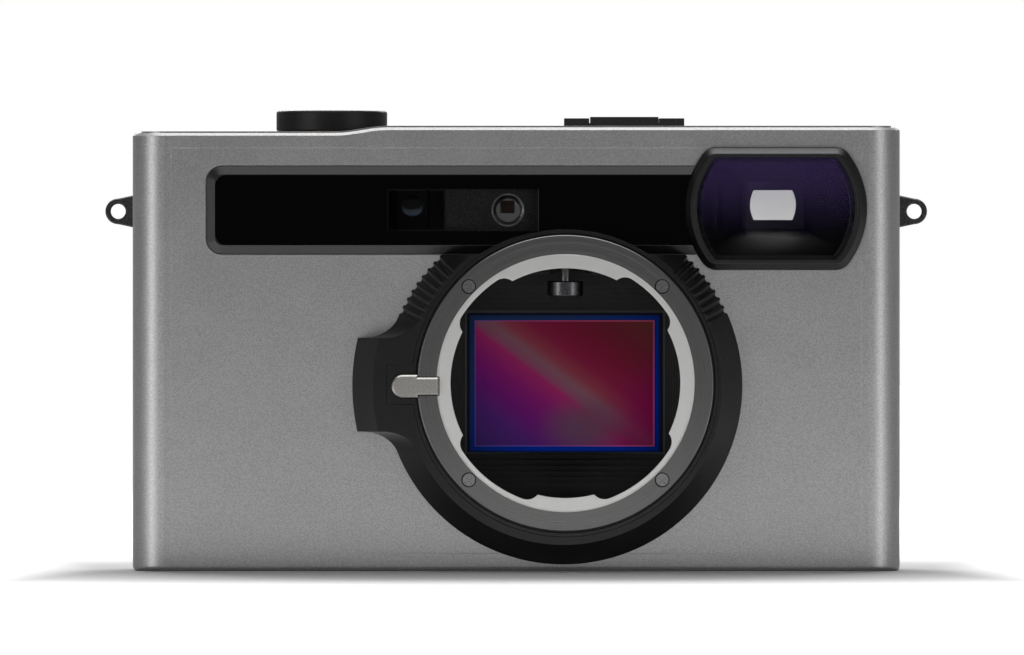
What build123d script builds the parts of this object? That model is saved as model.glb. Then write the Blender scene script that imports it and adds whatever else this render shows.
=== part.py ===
from build123d import *
import os
from math import acos, asin, atan, cos, degrees, radians, sin, sqrt

# Digital rangefinder camera, body only, with its lens mount open.
# The origin is the centre of the base. X runs to the right of someone who looks at the front,
# Z runs up, and the front faces -Y. Places in depth are distances in front of the middle plane.

# Casing
body_width = 138.0
body_depth = 33.0
upper_deck = 80.0
deck_step = 1.0
corner_radius = 5.8
base_rounding = 0.9
top_chamfer = 0.5
side_wall = 7.0
front_wall = 2.0
base_wall = 3.2
roof = 4.0
cavity_corner = 1.0
plate_inset = 1.5
plate_thickness = 1.5
plate_proud = 0.3
rise_past_dial = 5.49
rise_length = 9.5

# Fits between fixed pieces and gaps round moving ones
slip = 0.05
running = 0.05
gap = 0.15

# Rear cover
cover_thickness = 1.6
cover_margin = 1.0
cover_corner = 4.0
cover_post = 6.0
cover_post_length = 5.5
cover_screw_length = 6.0
thumb_rest_width = 9.0
thumb_rest_height = 34.0
thumb_rest_proud = 2.2
thumb_rest_inset = 17.0
thumb_rest_drop = 33.0

screen_button_gap = 9.0
screen_thumb_gap = 9.5
screen_height = 51.0
screen_corner = 2.0
screen_z = 34.5
screen_thickness = 0.8
screen_recess = 0.1

# Screws
small_core = 0.85
small_head = 1.35
cover_core = 0.9
cover_head = 1.9
recess_depth = 0.45

# Lens mount
lens_x = 8.82
lens_z = 33.79
flange_distance = 27.8
flange_proud = 5.5
flange_thickness = 2.2
flange_step = 0.3
lug_radius = 20.62
notch_depth = 1.5
notch_cutter = 2.4
flange_land = 0.99
flange_rim = 3.44
lug_thickness = 1.4
lug_spans = [(-26.0, 27.5), (63.5, 117.5), (153.5, 207.0), (256.0, 284.5)]
flange_screw_inset = 1.4
flange_screw_length = 7.0
ring_seat_play = 0.35
ring_wall = 0.65
ring_bore_play = 0.35
ring_recess = 0.7
spring_reach = 2.15
spring_lug_gap = 0.73
spring_thickness = 0.3
mount_hole_play = 0.2

# Surround of the mount, a drafted ring with a housing for the release
surround_shift_x = -0.34
surround_shift_z = -0.46
surround_wall = 1.0
surround_flare = 3.59
surround_recess = 0.6
housing_base_reach = 5.79
housing_front_reach = 5.73
housing_below = 8.16
housing_above = 8.66
housing_fillet = 5.2
bridge_wall = 0.45
flute_clear = 4.318
flute_pitch = 1.5359
flute_count = 8
flute_radius = 0.66
flute_depth = 0.42

# Lens release
button_drop = 0.56
button_step_inset = 0.07
pad_length = 4.66
tab_length = 3.75
button_height = 4.08
tab_height = 3.14
button_proud = 0.8
button_thickness = 2.0
button_edge = 0.3
release_travel = 2.0
stem_radius = 1.2
stem_inset = 2.2
stem_collar = 2.1
stem_collar_thickness = 0.6
plate_margin = 0.91
plate_below = 3.22
plate_above = 3.99
leaf_length = 13.0
leaf_width = 3.0

# Long window
window_inset = 13.36
window_z_drop = 15.15
window_height = 15.74
window_corner = 2.9
bevel_width = 1.5
bevel_depth = 0.9
pocket_depth = 1.0
glass_recess = 0.1

# Viewfinder
viewfinder_edge = 22.38
viewfinder_z_drop = 14.92
finder_radius = 16.31
finder_half_height = 10.93
finder_corner = 3.0
finder_proud = 2.0
finder_bevel_width = 1.05
finder_bevel_depth = 1.3
finder_glass_radius = 14.2
finder_glass_half_height = 9.2
finder_glass_corner = 0.9
finder_glass_recess = 0.7
finder_ledge = 0.8
finder_ledge_thickness = 0.6
lip_width = 0.5
lip_depth = 0.2
tunnel_wall = 1.1
tunnel_front_half_width = 13.2
tunnel_front_half_height = 8.5
tunnel_back_half_width = 5.6
tunnel_back_half_height = 4.3
eyepiece_shift_x = -0.03
eyepiece_shift_z = 0.82
eyepiece_width = 6.95
eyepiece_height = 5.4
eyepiece_bulge = 0.69
eyepiece_tube_radius = 7.0
eyepiece_flange_radius = 8.2
eyepiece_proud = 1.4
eyepiece_lens_radius = 5.6
splitter_length = 10.0
splitter_thickness = 0.6

# Rangefinder and meter behind the long window
rf_x = -18.68
module_left = -23.32
module_middle = -12.5
module_right = 4.13
module_height = 7.75
module_drop = 15.17
mask_wall = 0.4
mask_depth = 1.5
meter_depth = 6.0
dish_x = -1.49
dish_radius = 2.97
dish_depth = 2.8
dish_floor = 0.7
dish_floor_radius = 2.08
cell_width = 2.54
cell_height = 2.25
cell_shift = (-0.1, 0.6)
shelf_y = -4.2
shelf_depth = 20.6
shelf_overhang = 3.85
shelf_leg_thickness = 1.4
lower_shelf_gap = 1.2
lower_shelf_shift = 1.5
lower_shelf_y = -2.0
lower_shelf_width = 6.4
lower_shelf_depth = 16.0
pivot_rise = 1.4
shelf_thickness = 1.5
shelf_end_gap = 1.4
shelf_leg_inset = 5.3
pivot_depth = 7.0
pivot_radius = 1.5
hub_radius = 2.6
arm_thickness = 1.3
arm_width = 4.0
roller_radius = 3.23
roller_height = 2.74
roller_rise = 15.56
roller_arm_gap = 2.2
spring_room = 2.94
roller_depth = 15.07
roller_pin_radius = 0.95
roller_pin_head = 0.5
roller_pin_head_radius = 1.6
roller_boss = 2.2
rf_lens_radius = 1.95
rf_lens_rise = 0.8
carrier_width = 5.2
mirror_size = 8.0
mirror_thickness = 0.8
mirror_depth = 1.5
mirror_rise = 0.9
stand_thickness = 1.2
coil_wire = 0.5
coil_radius = 3.3
coil_tail = 1.0

# Chamber and sensor
chamber_half_width = 24.5
chamber_drop = 24.53
chamber_wall = 1.2
chamber_face_depth = 7.0
aperture_width = 36.2
aperture_height = 26.0
aperture_steps = 6
step_side = 0.45
step_up = 0.85
step_down = 1.0
sensor_width = 35.4
sensor_height = 25.1
sensor_glass_thickness = 0.8
package_width = 38.5
package_height = 28.2
package_thickness = 2.6
package_rim = 1.2
sensor_board_width = 48.0
sensor_board_height = 39.0
sensor_board_thickness = 1.6
bracket_thickness = 1.5
sensor_screw_x = 21.5
sensor_screw_z = 17.0
sensor_post_radius = 2.4
main_board_width = 54.0
main_board_height = 46.0
main_board_thickness = 1.0
main_board_gap = 0.8
processor_size = 14.0
processor_thickness = 1.0

# Speed dial and shutter release
dial_offset = 14.61
dial_radius = 10.0
dial_height = 2.83
dial_edge = 0.5
bearing_radius = 6.0
bearing_lip = 0.5
bearing_bore = 4.65
bearing_flange = 8.0
shutter_radius = 4.5
shutter_height = 2.6
shutter_dish = 0.35
shutter_travel = 1.2
shutter_stem = 1.5
shutter_coil_radius = 2.6
shutter_wire = 0.46
switch_size = 7.0
switch_height = 3.0
switch_bracket = 1.0
switch_leg_reach = 1.2
switch_play = 0.1
collar_to_tip = 3.0
collar_radius = 2.6
collar_thickness = 0.5

# Accessory shoe
shoe_x = 19.45
shoe_width = 21.6
shoe_length = 20.0
shoe_channel = 18.7
shoe_slot = 12.6
shoe_lip = 0.85
shoe_proud = 1.39
shoe_base = 1.1
shoe_stop = 1.4
shoe_spring_thickness = 0.35
shoe_spring_rise = 0.25
shoe_screw_grid = (10.0, 9.0)
contact_radius = 1.6
contact_small_radius = 0.8

# Battery bay in the base
bay_leaf_gap = 3.16
battery_depth = 14.5
battery_height = 50.0
bay_clearance = 0.2
bay_wall = 1.0
bay_inset = 1.0
bay_y = -4.25
door_margin = 2.0
door_thickness = 1.55
door_lift = 0.05
knuckle_radius = 1.1
door_pin_radius = 0.5
latch_width = 8.0
latch_wing = 0.6
latch_length = 9.0
latch_travel = 1.9
latch_reach = 1.6

# Rear buttons
rear_button_radius = 3.0
rear_button_flange = 3.8
rear_button_proud = 0.5
rear_button_travel = 0.5
rear_button_inset = 30.0
rear_button_drops = {"power_button": 20.0, "plus_button": 30.0, "minus_button": 38.0}
rear_flange_thickness = 0.8
rear_switch_size = 4.0
rear_switch_thickness = 0.5
board_post_radius = 1.0
button_board_width = 12.0
button_board_margin = 7.0
button_board_thickness = 1.0

# Sockets and strap lugs
tripod_radius = 3.175
tripod_depth = 5.5
tripod_bush_radius = 6.0
usb_z = 22.0
usb_y = 2.0
usb_width = 8.94
usb_height = 3.26
usb_length = 6.6
usb_wall = 0.3
usb_recess = 0.6
lug_drop = 15.32
lug_hole_x = 2.85
lug_hole_radius = 1.35
lug_eye_radius = 2.32
lug_root_height = 5.85
lug_plate_thickness = 1.6
lug_tongue_length = 5.0
lug_tongue_height = 4.0

# Levels that follow from the sizes above
lower_deck = upper_deck - deck_step
front_face = body_depth / 2
back_face = -body_depth / 2
inner_front = front_face - front_wall
cover_inner = back_face + cover_thickness
ceiling = upper_deck - roof
cavity_half = body_width / 2 - side_wall
flange_front = front_face + flange_proud
flange_back = flange_front - flange_thickness
sensor_plane = flange_front - flange_distance
surround_front = flange_front - surround_recess
ring_front = flange_front - ring_recess
notch_radius = lug_radius + notch_depth
flange_step_radius = notch_radius + flange_land
flange_radius = flange_step_radius + flange_rim
screw_circle = flange_step_radius + flange_screw_inset
ring_seat_radius = flange_radius + ring_seat_play
ring_radius = ring_seat_radius + ring_wall
ring_bore = notch_radius + ring_bore_play
mount_hole_radius = ring_bore + mount_hole_play
spring_outer = notch_radius + spring_reach
spring_inner = lug_radius + spring_lug_gap
surround_front_radius = ring_radius + surround_wall
surround_base_radius = surround_front_radius + surround_flare
housing_base_radius = surround_base_radius + housing_base_reach
housing_front_radius = surround_front_radius + housing_front_reach
bridge_radius = ring_radius + bridge_wall
button_z = lens_z - button_drop
button_step = lens_x - flange_radius + button_step_inset
button_left = button_step - pad_length
button_right = button_step + tab_length
housing_low = button_z - housing_below
housing_high = button_z + housing_above
plate_left = button_left - plate_margin
plate_low = button_z - plate_below
plate_high = button_z + plate_above
surround_x = lens_x + surround_shift_x
surround_z = lens_z + surround_shift_z
window_left = -body_width / 2 + window_inset
window_z = upper_deck - window_z_drop
window_low = window_z - window_height / 2
window_front = front_face + bevel_depth
glass_front = window_front - glass_recess
pocket_floor = front_face - pocket_depth
finder_x = body_width / 2 - viewfinder_edge
finder_z = upper_deck - viewfinder_z_drop
finder_front = front_face + finder_proud
module_z = upper_deck - module_drop
roller_low = lens_z + roller_rise
arm_low = roller_low + roller_height + roller_arm_gap
shelf_low = arm_low + arm_thickness + spring_room
chamber_low = lens_z - chamber_drop
dial_x = rf_x - dial_offset
dial_top = upper_deck + dial_height
shutter_top = upper_deck + shutter_height
rise_centre = dial_x + rise_past_dial
lug_z = upper_deck - lug_drop
rear_button_heights = {name: upper_deck - drop for name, drop in rear_button_drops.items()}

os.makedirs("parts", exist_ok=True)


def front(depth, x=0.0, z=0.0):
    """Plane that faces the front, a distance before the middle plane."""
    return Plane(origin=(x, -depth, z), x_dir=(1, 0, 0), z_dir=(0, -1, 0))


def rear(depth, x=0.0, z=0.0):
    """Plane that faces the back, at the same measure of depth."""
    return Plane(origin=(x, -depth, z), x_dir=(-1, 0, 0), z_dir=(0, 1, 0))


def keep(piece, name):
    """Label a finished piece and write its file."""
    piece.part.label = name
    export_step(piece.part, f"parts/{name}.step")


def above_deck(drop, top):
    """Area over the deck line, which is lower on the left, when the line is let down by drop."""
    reach = body_width
    with BuildSketch() as area:
        with BuildLine():
            low = Line((-reach, lower_deck - drop), (rise_centre - rise_length / 2, lower_deck - drop))
            rise = Spline(
                low @ 1,
                (rise_centre + rise_length / 2, upper_deck - drop),
                tangents=[(1, 0), (1, 0)],
            )
            high = Line(rise @ 1, (reach, upper_deck - drop))
            Polyline(high @ 1, (reach, top), (-reach, top), low @ 0)
        make_face()
    return area.sketch


def barrel(radius, half_height, corner):
    """Viewfinder outline: a circle cut off above and below, with rounded corners."""
    with BuildSketch() as outline:
        Circle(radius)
        Rectangle(2 * radius, 2 * half_height, mode=Mode.INTERSECT)
        fillet(outline.vertices(), corner)
    return outline.sketch


def wedge(radius, start, end):
    """Slice of a disc between two angles."""
    with BuildSketch() as slice_of_disc:
        with BuildLine():
            rim = CenterArc((0, 0), radius, start, end - start)
            Line((0, 0), rim @ 0)
            Line((0, 0), rim @ 1)
        make_face()
    return slice_of_disc.sketch


def throat():
    """Opening of the bayonet: notches between the lugs, their ends left round by the cutter."""
    path = notch_radius - notch_cutter
    turn = degrees(acos((lug_radius**2 + path**2 - notch_cutter**2) / (2 * lug_radius * path)))
    with BuildSketch() as opening:
        Circle(notch_radius)
        with BuildSketch(mode=Mode.SUBTRACT):
            for start, end in lug_spans:
                add(wedge(notch_radius + gap, start - turn, end + turn))
            Circle(lug_radius, mode=Mode.SUBTRACT)
        for start, end in lug_spans:
            for angle in (start - turn, end + turn):
                with Locations(Vector(path, 0).rotate(Axis.Z, angle)):
                    Circle(notch_cutter)
    return opening.sketch


def release_outline(grow):
    """Outline of the lens release: a wide pad with a round end, and a narrower lock tab."""
    with BuildSketch() as outline:
        with Locations(((button_left + button_step) / 2, button_z)):
            Rectangle(button_step - button_left, button_height)
        fillet(outline.vertices().group_by(Axis.X)[0], button_height / 2 - 0.05)
        with Locations(((button_step + button_right) / 2 - 0.5, button_z)):
            Rectangle(button_right - button_step + 1.0, tab_height)
        if grow:
            offset(amount=grow)
    return outline.sketch


def screw(head_radius, core_radius, length):
    """Countersunk cross-head screw, its head level with the origin and its shank down -Z."""
    top = (Align.CENTER, Align.CENTER, Align.MAX)
    with BuildPart() as fastener:
        Cylinder(core_radius, length, align=top)
        Cone(core_radius, head_radius, head_radius - core_radius, align=top)
        Box(1.3 * head_radius, 0.3 * head_radius, recess_depth, align=top, mode=Mode.SUBTRACT)
        Box(0.3 * head_radius, 1.3 * head_radius, recess_depth, align=top, mode=Mode.SUBTRACT)
    return fastener.part


def lens(radius, thickness, bulge):
    """Lens with a flat back on the origin's plane and a domed front along +Z."""
    curve = (radius**2 + bulge**2) / (2 * bulge)
    with BuildPart() as glass:
        Cylinder(radius, thickness + bulge, align=(Align.CENTER, Align.CENTER, Align.MIN))
        with Locations((0, 0, thickness + bulge - curve)):
            Sphere(curve, mode=Mode.INTERSECT)
    return glass.part


def ring_coil(radius, wire, low, high):
    """Close-wound coil spring, drawn as rings round the Z axis that sink a little into each other."""
    turns = int((high - low) / (0.85 * wire)) + 1
    pitch = (high - low - wire) / (turns - 1)
    with BuildPart() as coil:
        for turn in range(turns):
            with Locations((0, 0, low + wire / 2 + turn * pitch)):
                Torus(radius, wire / 2)
    return coil.part


# Places shared by several pieces
screw_posts = [
    (side * (cavity_half - cover_post / 2), height)
    for side in (-1, 1)
    for height in (base_wall + cover_post / 2, ceiling - cover_post / 2)
]
sensor_posts = [(lens_x + sx * sensor_screw_x, lens_z + sz * sensor_screw_z) for sx in (-1, 1) for sz in (-1, 1)]
stem_x = button_left + stem_inset
bay_left = -cavity_half + bay_inset
bay_right = stem_x - leaf_width / 2 - bay_leaf_gap
bay_width = bay_right - bay_left - 2 * bay_wall
battery_width = bay_width - 2 * bay_clearance
bay_depth = battery_depth + 2 * bay_clearance
bay_x = (bay_left + bay_right) / 2
hinge_x = bay_x - bay_width / 2 - bay_wall
hinge_z = door_lift + knuckle_radius + 0.1
door_end = bay_x + bay_width / 2 + 4.5
door_half_depth = bay_depth / 2 + door_margin
shoe_top = upper_deck + shoe_proud
shoe_channel_top = shoe_top - shoe_lip
shoe_floor = upper_deck - plate_thickness
shoe_gap = shoe_channel_top - shoe_floor
shoe_seat = shoe_floor - shoe_base
shoe_way_length = (body_depth - shoe_length) / 2
shoe_way_y = (body_depth + shoe_length) / 4
eyepiece_x = finder_x + eyepiece_shift_x
eyepiece_z = finder_z + eyepiece_shift_z
rear_button_x = -body_width / 2 + rear_button_inset
thumb_rest_x = body_width / 2 - thumb_rest_inset
screen_left = rear_button_x + screen_button_gap
screen_right = thumb_rest_x - thumb_rest_width / 2 - screen_thumb_gap
screen_width = screen_right - screen_left
screen_x = (screen_left + screen_right) / 2
switch_face = cover_inner + rear_flange_thickness + rear_button_travel + 2 * slip
board_front_face = switch_face + rear_switch_thickness
button_rows = sorted(rear_button_heights.values())
board_posts = ((button_rows[1] + button_rows[2]) / 2, button_rows[0] - rear_button_flange - 1.7)
stop_drop = window_front + gap
bearing_top = shutter_top - shutter_travel - 0.1
bearing_web_top = bearing_top - 2.65
bearing_web_low = bearing_web_top - 1.0


def window_outline(inset):
    """Outline of the long window, its right end cut by the viewfinder's frame."""
    left = window_left + inset
    with BuildSketch() as outline:
        with Locations(((left + finder_x) / 2, window_z)):
            RectangleRounded(finder_x - left, window_height - 2 * inset, window_corner - 0.6 * inset)
        with Locations((finder_x, finder_z)):
            add(barrel(finder_radius + slip, finder_half_height + slip, finder_corner), mode=Mode.SUBTRACT)
    return outline.sketch


# Milled casing, open at the back, with seats for everything that shows
with BuildPart() as casing:
    with BuildSketch():
        RectangleRounded(body_width, body_depth, corner_radius)
    extrude(amount=upper_deck - plate_proud)
    with BuildSketch(front(back_face)):
        add(above_deck(plate_proud, upper_deck))
    extrude(amount=body_depth, mode=Mode.SUBTRACT)
    deck_edges = casing.edges().filter_by(lambda e: e.center().Z > lower_deck - 1.0)
    chamfer(deck_edges.filter_by(lambda e: abs(e.center().Y) > 1 or abs(e.center().X) > cavity_half), top_chamfer)
    fillet(casing.faces().sort_by(Axis.Z)[0].edges(), base_rounding)
    # room inside, and the rebate that takes the rear cover
    with BuildSketch(front(back_face)):
        with Locations((0, (base_wall + ceiling) / 2)):
            RectangleRounded(2 * cavity_half, ceiling - base_wall, cavity_corner)
    extrude(amount=inner_front - back_face, mode=Mode.SUBTRACT)
    with BuildSketch(front(back_face)):
        with Locations((0, (base_wall + ceiling) / 2)):
            RectangleRounded(
                2 * (cavity_half + cover_margin),
                ceiling - base_wall + 2 * cover_margin,
                cover_corner,
            )
    extrude(amount=cover_thickness, mode=Mode.SUBTRACT)
    with BuildSketch(front(cover_inner)):
        with Locations(*screw_posts):
            Rectangle(cover_post, cover_post)
    extrude(amount=cover_post_length)
    with BuildSketch(front(cover_inner)):
        with Locations(*screw_posts):
            Circle(cover_core)
    extrude(amount=cover_screw_length - cover_thickness, mode=Mode.SUBTRACT)
    # deck plate
    with BuildSketch(Plane.XY.offset(lower_deck - plate_thickness)):
        RectangleRounded(
            body_width - 2 * plate_inset, body_depth - 2 * plate_inset, corner_radius - plate_inset
        )
    plate_block = extrude(amount=plate_thickness + deck_step, mode=Mode.PRIVATE)
    with BuildPart(mode=Mode.PRIVATE) as plate_band:
        with BuildSketch(front(back_face)):
            add(above_deck(plate_thickness, upper_deck + 1.0))
        extrude(amount=body_depth)
    add(plate_block & plate_band.part, mode=Mode.SUBTRACT)
    # long window and viewfinder
    with BuildSketch(front(pocket_floor)):
        add(window_outline(-gap))
        with Locations((finder_x, finder_z)):
            add(barrel(finder_radius + slip, finder_half_height + slip, finder_corner))
    extrude(amount=pocket_depth, mode=Mode.SUBTRACT)
    with BuildSketch(front(inner_front)):
        with Locations(((module_left + module_right) / 2, module_z)):
            Rectangle(module_right - module_left + 2 * slip, module_height + 2 * slip)
        with Locations((finder_x, finder_z)):
            add(
                barrel(
                    finder_glass_radius - finder_ledge,
                    finder_glass_half_height - finder_ledge,
                    finder_glass_corner,
                )
            )
    extrude(amount=front_wall, mode=Mode.SUBTRACT)
    # lens mount, the arm's way out, the flange screws and the release's stem
    with BuildSketch(front(inner_front)):
        with Locations((lens_x, lens_z)):
            Circle(mount_hole_radius)
        with Locations((lens_x - 5.0, roller_low + roller_height)):
            Rectangle(20.0, 2 * (arm_thickness + 2.9))
        with Locations((lens_x, lens_z)):
            with PolarLocations(screw_circle, 4, 45):
                Circle(small_core)
        with Locations((stem_x, button_z)):
            Circle(stem_radius + gap)
    extrude(amount=front_wall, mode=Mode.SUBTRACT)
    # dial bearing and shoe
    with BuildSketch(Plane.XY.offset(ceiling)):
        with Locations((dial_x, 0)):
            Circle(bearing_radius + bearing_lip + slip)
    extrude(amount=roof, mode=Mode.SUBTRACT)
    with BuildSketch(Plane.XY.offset(shoe_seat)):
        with Locations((shoe_x, 0)):
            Rectangle(shoe_width + 2 * slip, shoe_length + 2 * slip)
    extrude(amount=roof, mode=Mode.SUBTRACT)
    # the foot of an accessory slides in from behind, level with the shoe's floor
    with BuildSketch(Plane.XY.offset(shoe_floor)):
        with Locations((shoe_x, shoe_way_y)):
            Rectangle(shoe_width + 2 * slip, shoe_way_length)
    extrude(amount=roof, mode=Mode.SUBTRACT)
    # battery bay, its door, hinge and latch
    with BuildSketch():
        with Locations((bay_x, bay_y)):
            Rectangle(bay_width, bay_depth)
    extrude(amount=base_wall, mode=Mode.SUBTRACT)
    with BuildSketch():
        with Locations(((hinge_x - knuckle_radius + door_end) / 2, bay_y)):
            Rectangle(door_end - hinge_x + knuckle_radius + 4 * gap, 2 * (door_half_depth + gap))
    extrude(amount=door_lift + door_thickness + gap, mode=Mode.SUBTRACT)
    with BuildSketch():
        with Locations((hinge_x, bay_y)):
            Rectangle(2 * (knuckle_radius + gap), 2 * (door_half_depth + gap))
    extrude(amount=hinge_z + knuckle_radius + gap, mode=Mode.SUBTRACT)
    with BuildSketch(front(-bay_y - door_half_depth - 1.2)):
        with Locations((hinge_x, hinge_z)):
            Circle(door_pin_radius)
    extrude(amount=2 * (door_half_depth + 1.2), mode=Mode.SUBTRACT)
    with BuildSketch(Plane.XY.offset(0.5 * door_thickness - 0.3)):
        with Locations((door_end + latch_reach / 2 + 0.3, bay_y)):
            Rectangle(latch_reach + 0.4, latch_width + 2 * latch_wing + 2 * gap)
    extrude(amount=0.95, mode=Mode.SUBTRACT)
    with BuildSketch():
        with Locations((lens_x, 0)):
            Circle(tripod_bush_radius)
    extrude(amount=base_wall, mode=Mode.SUBTRACT)
    # strap lugs and the charging socket
    with BuildSketch(front(-lug_plate_thickness / 2)):
        for side in (-1, 1):
            with Locations((side * (body_width - lug_tongue_length) / 2, lug_z)):
                Rectangle(lug_tongue_length, lug_tongue_height)
    extrude(amount=lug_plate_thickness, mode=Mode.SUBTRACT)
    with BuildSketch(Plane.YZ.offset(cavity_half)):
        with Locations((usb_y, usb_z)):
            RectangleRounded(usb_width, usb_height, usb_height / 2 - 0.01)
    extrude(amount=side_wall, mode=Mode.SUBTRACT)

# The casing is one block. The middle of its front wall is drawn apart from the walls round it.
with BuildPart() as front_area:
    with BuildSketch(front(inner_front)):
        with Locations((0, (base_wall + ceiling) / 2)):
            Rectangle(2 * cavity_half, ceiling - base_wall)
    extrude(amount=front_wall)
with BuildPart() as body_shell:
    add(casing.part)
    add(front_area.part, mode=Mode.SUBTRACT)
keep(body_shell, "body_shell")

with BuildPart() as front_panel:
    add(casing.part)
    add(front_area.part, mode=Mode.INTERSECT)
keep(front_panel, "front_panel")

# Deck plate let into the top, with holes for the dial and the shoe
with BuildPart() as top_plate:
    with BuildSketch(front(back_face)):
        add(above_deck(plate_thickness, upper_deck + 1.0))
        add(above_deck(0, upper_deck + 2.0), mode=Mode.SUBTRACT)
    extrude(amount=body_depth)
    with BuildSketch():
        RectangleRounded(
            body_width - 2 * (plate_inset + slip),
            body_depth - 2 * (plate_inset + slip),
            corner_radius - plate_inset,
        )
    extrude(amount=upper_deck + 1.0, mode=Mode.INTERSECT)
    with BuildSketch(Plane.XY.offset(lower_deck)):
        with Locations((dial_x, 0)):
            Circle(dial_radius + 2 * gap)
    extrude(amount=deck_step, mode=Mode.SUBTRACT)
    with BuildSketch(Plane.XY.offset(lower_deck - plate_thickness)):
        with Locations((dial_x, 0)):
            Circle(bearing_radius + bearing_lip + slip)
        with Locations((shoe_x, 0)):
            Rectangle(shoe_width + 2 * slip, shoe_length + 2 * slip)
        with Locations((shoe_x, shoe_way_y)):
            Rectangle(shoe_width + 2 * slip, shoe_way_length)
    extrude(amount=plate_thickness + deck_step, mode=Mode.SUBTRACT)
keep(top_plate, "top_plate")

# Rear cover with the thumb rest, the screen's seat, the eyepiece hole and the button holes
with BuildPart() as rear_cover:
    with BuildSketch(front(back_face)):
        with Locations((0, (base_wall + ceiling) / 2)):
            RectangleRounded(
                2 * (cavity_half + cover_margin - slip),
                ceiling - base_wall + 2 * (cover_margin - slip),
                cover_corner,
            )
    extrude(amount=cover_thickness)
    with BuildSketch(rear(back_face)):
        with Locations((thumb_rest_x, upper_deck - thumb_rest_drop)):
            RectangleRounded(thumb_rest_width, thumb_rest_height, 0.45 * thumb_rest_width)
    extrude(amount=thumb_rest_proud)
    fillet(rear_cover.faces().sort_by(Axis.Y)[-1].edges(), 0.8 * thumb_rest_proud)
    with BuildSketch(front(cover_inner)):
        with Locations(*[(rear_button_x, height) for height in board_posts]):
            Circle(board_post_radius)
    extrude(amount=board_front_face - cover_inner)
    with BuildSketch(front(back_face)):
        with Locations((eyepiece_x, eyepiece_z)):
            Circle(eyepiece_tube_radius)
        for height in rear_button_heights.values():
            with Locations((rear_button_x, height)):
                Circle(rear_button_radius + gap)
    extrude(amount=cover_thickness, mode=Mode.SUBTRACT)
    with BuildSketch(front(back_face, screen_x, screen_z)):
        RectangleRounded(screen_width + 2 * slip, screen_height + 2 * slip, screen_corner)
    extrude(amount=screen_thickness + screen_recess, mode=Mode.SUBTRACT)
    with Locations(rear(back_face)):
        with Locations(*[(-x, z) for x, z in screw_posts]):
            CounterSinkHole(cover_core, cover_head, cover_thickness)
keep(rear_cover, "rear_cover")

with BuildPart() as rear_screen:
    with BuildSketch(front(back_face + screen_recess, screen_x, screen_z)):
        RectangleRounded(screen_width, screen_height, screen_corner)
    extrude(amount=screen_thickness)
    chamfer(rear_screen.faces().sort_by(Axis.Y)[-1].edges(), 0.15)
keep(rear_screen, "rear_screen")

with BuildPart() as rear_cover_screws:
    with Locations(rear(back_face)):
        with Locations(*[(-x, z) for x, z in screw_posts]):
            add(screw(cover_head, cover_core, cover_screw_length))
keep(rear_cover_screws, "rear_cover_screws")

# Strap lugs: steel plates let into the sides
with BuildPart() as strap_lugs:
    for side in (-1, 1):
        wall = side * body_width / 2
        with BuildSketch(front(-lug_plate_thickness / 2)):
            with BuildLine():
                Polyline(
                    (wall, lug_z - lug_root_height / 2),
                    (wall + side * lug_hole_x, lug_z - lug_eye_radius),
                    (wall + side * lug_hole_x, lug_z + lug_eye_radius),
                    (wall, lug_z + lug_root_height / 2),
                    close=True,
                )
            make_face()
            with Locations((wall + side * lug_hole_x, lug_z)):
                Circle(lug_eye_radius)
            with Locations((wall - side * lug_tongue_length / 2, lug_z)):
                Rectangle(lug_tongue_length, lug_tongue_height)
            with Locations((wall + side * lug_hole_x, lug_z)):
                Circle(lug_hole_radius, mode=Mode.SUBTRACT)
        extrude(amount=lug_plate_thickness)
    outside = strap_lugs.edges().filter_by(lambda e: abs(e.center().X) > body_width / 2 + 0.2)
    chamfer(outside.filter_by(lambda e: abs(abs(e.center().Y) - lug_plate_thickness / 2) < 0.01), 0.2)
keep(strap_lugs, "strap_lugs")

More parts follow.
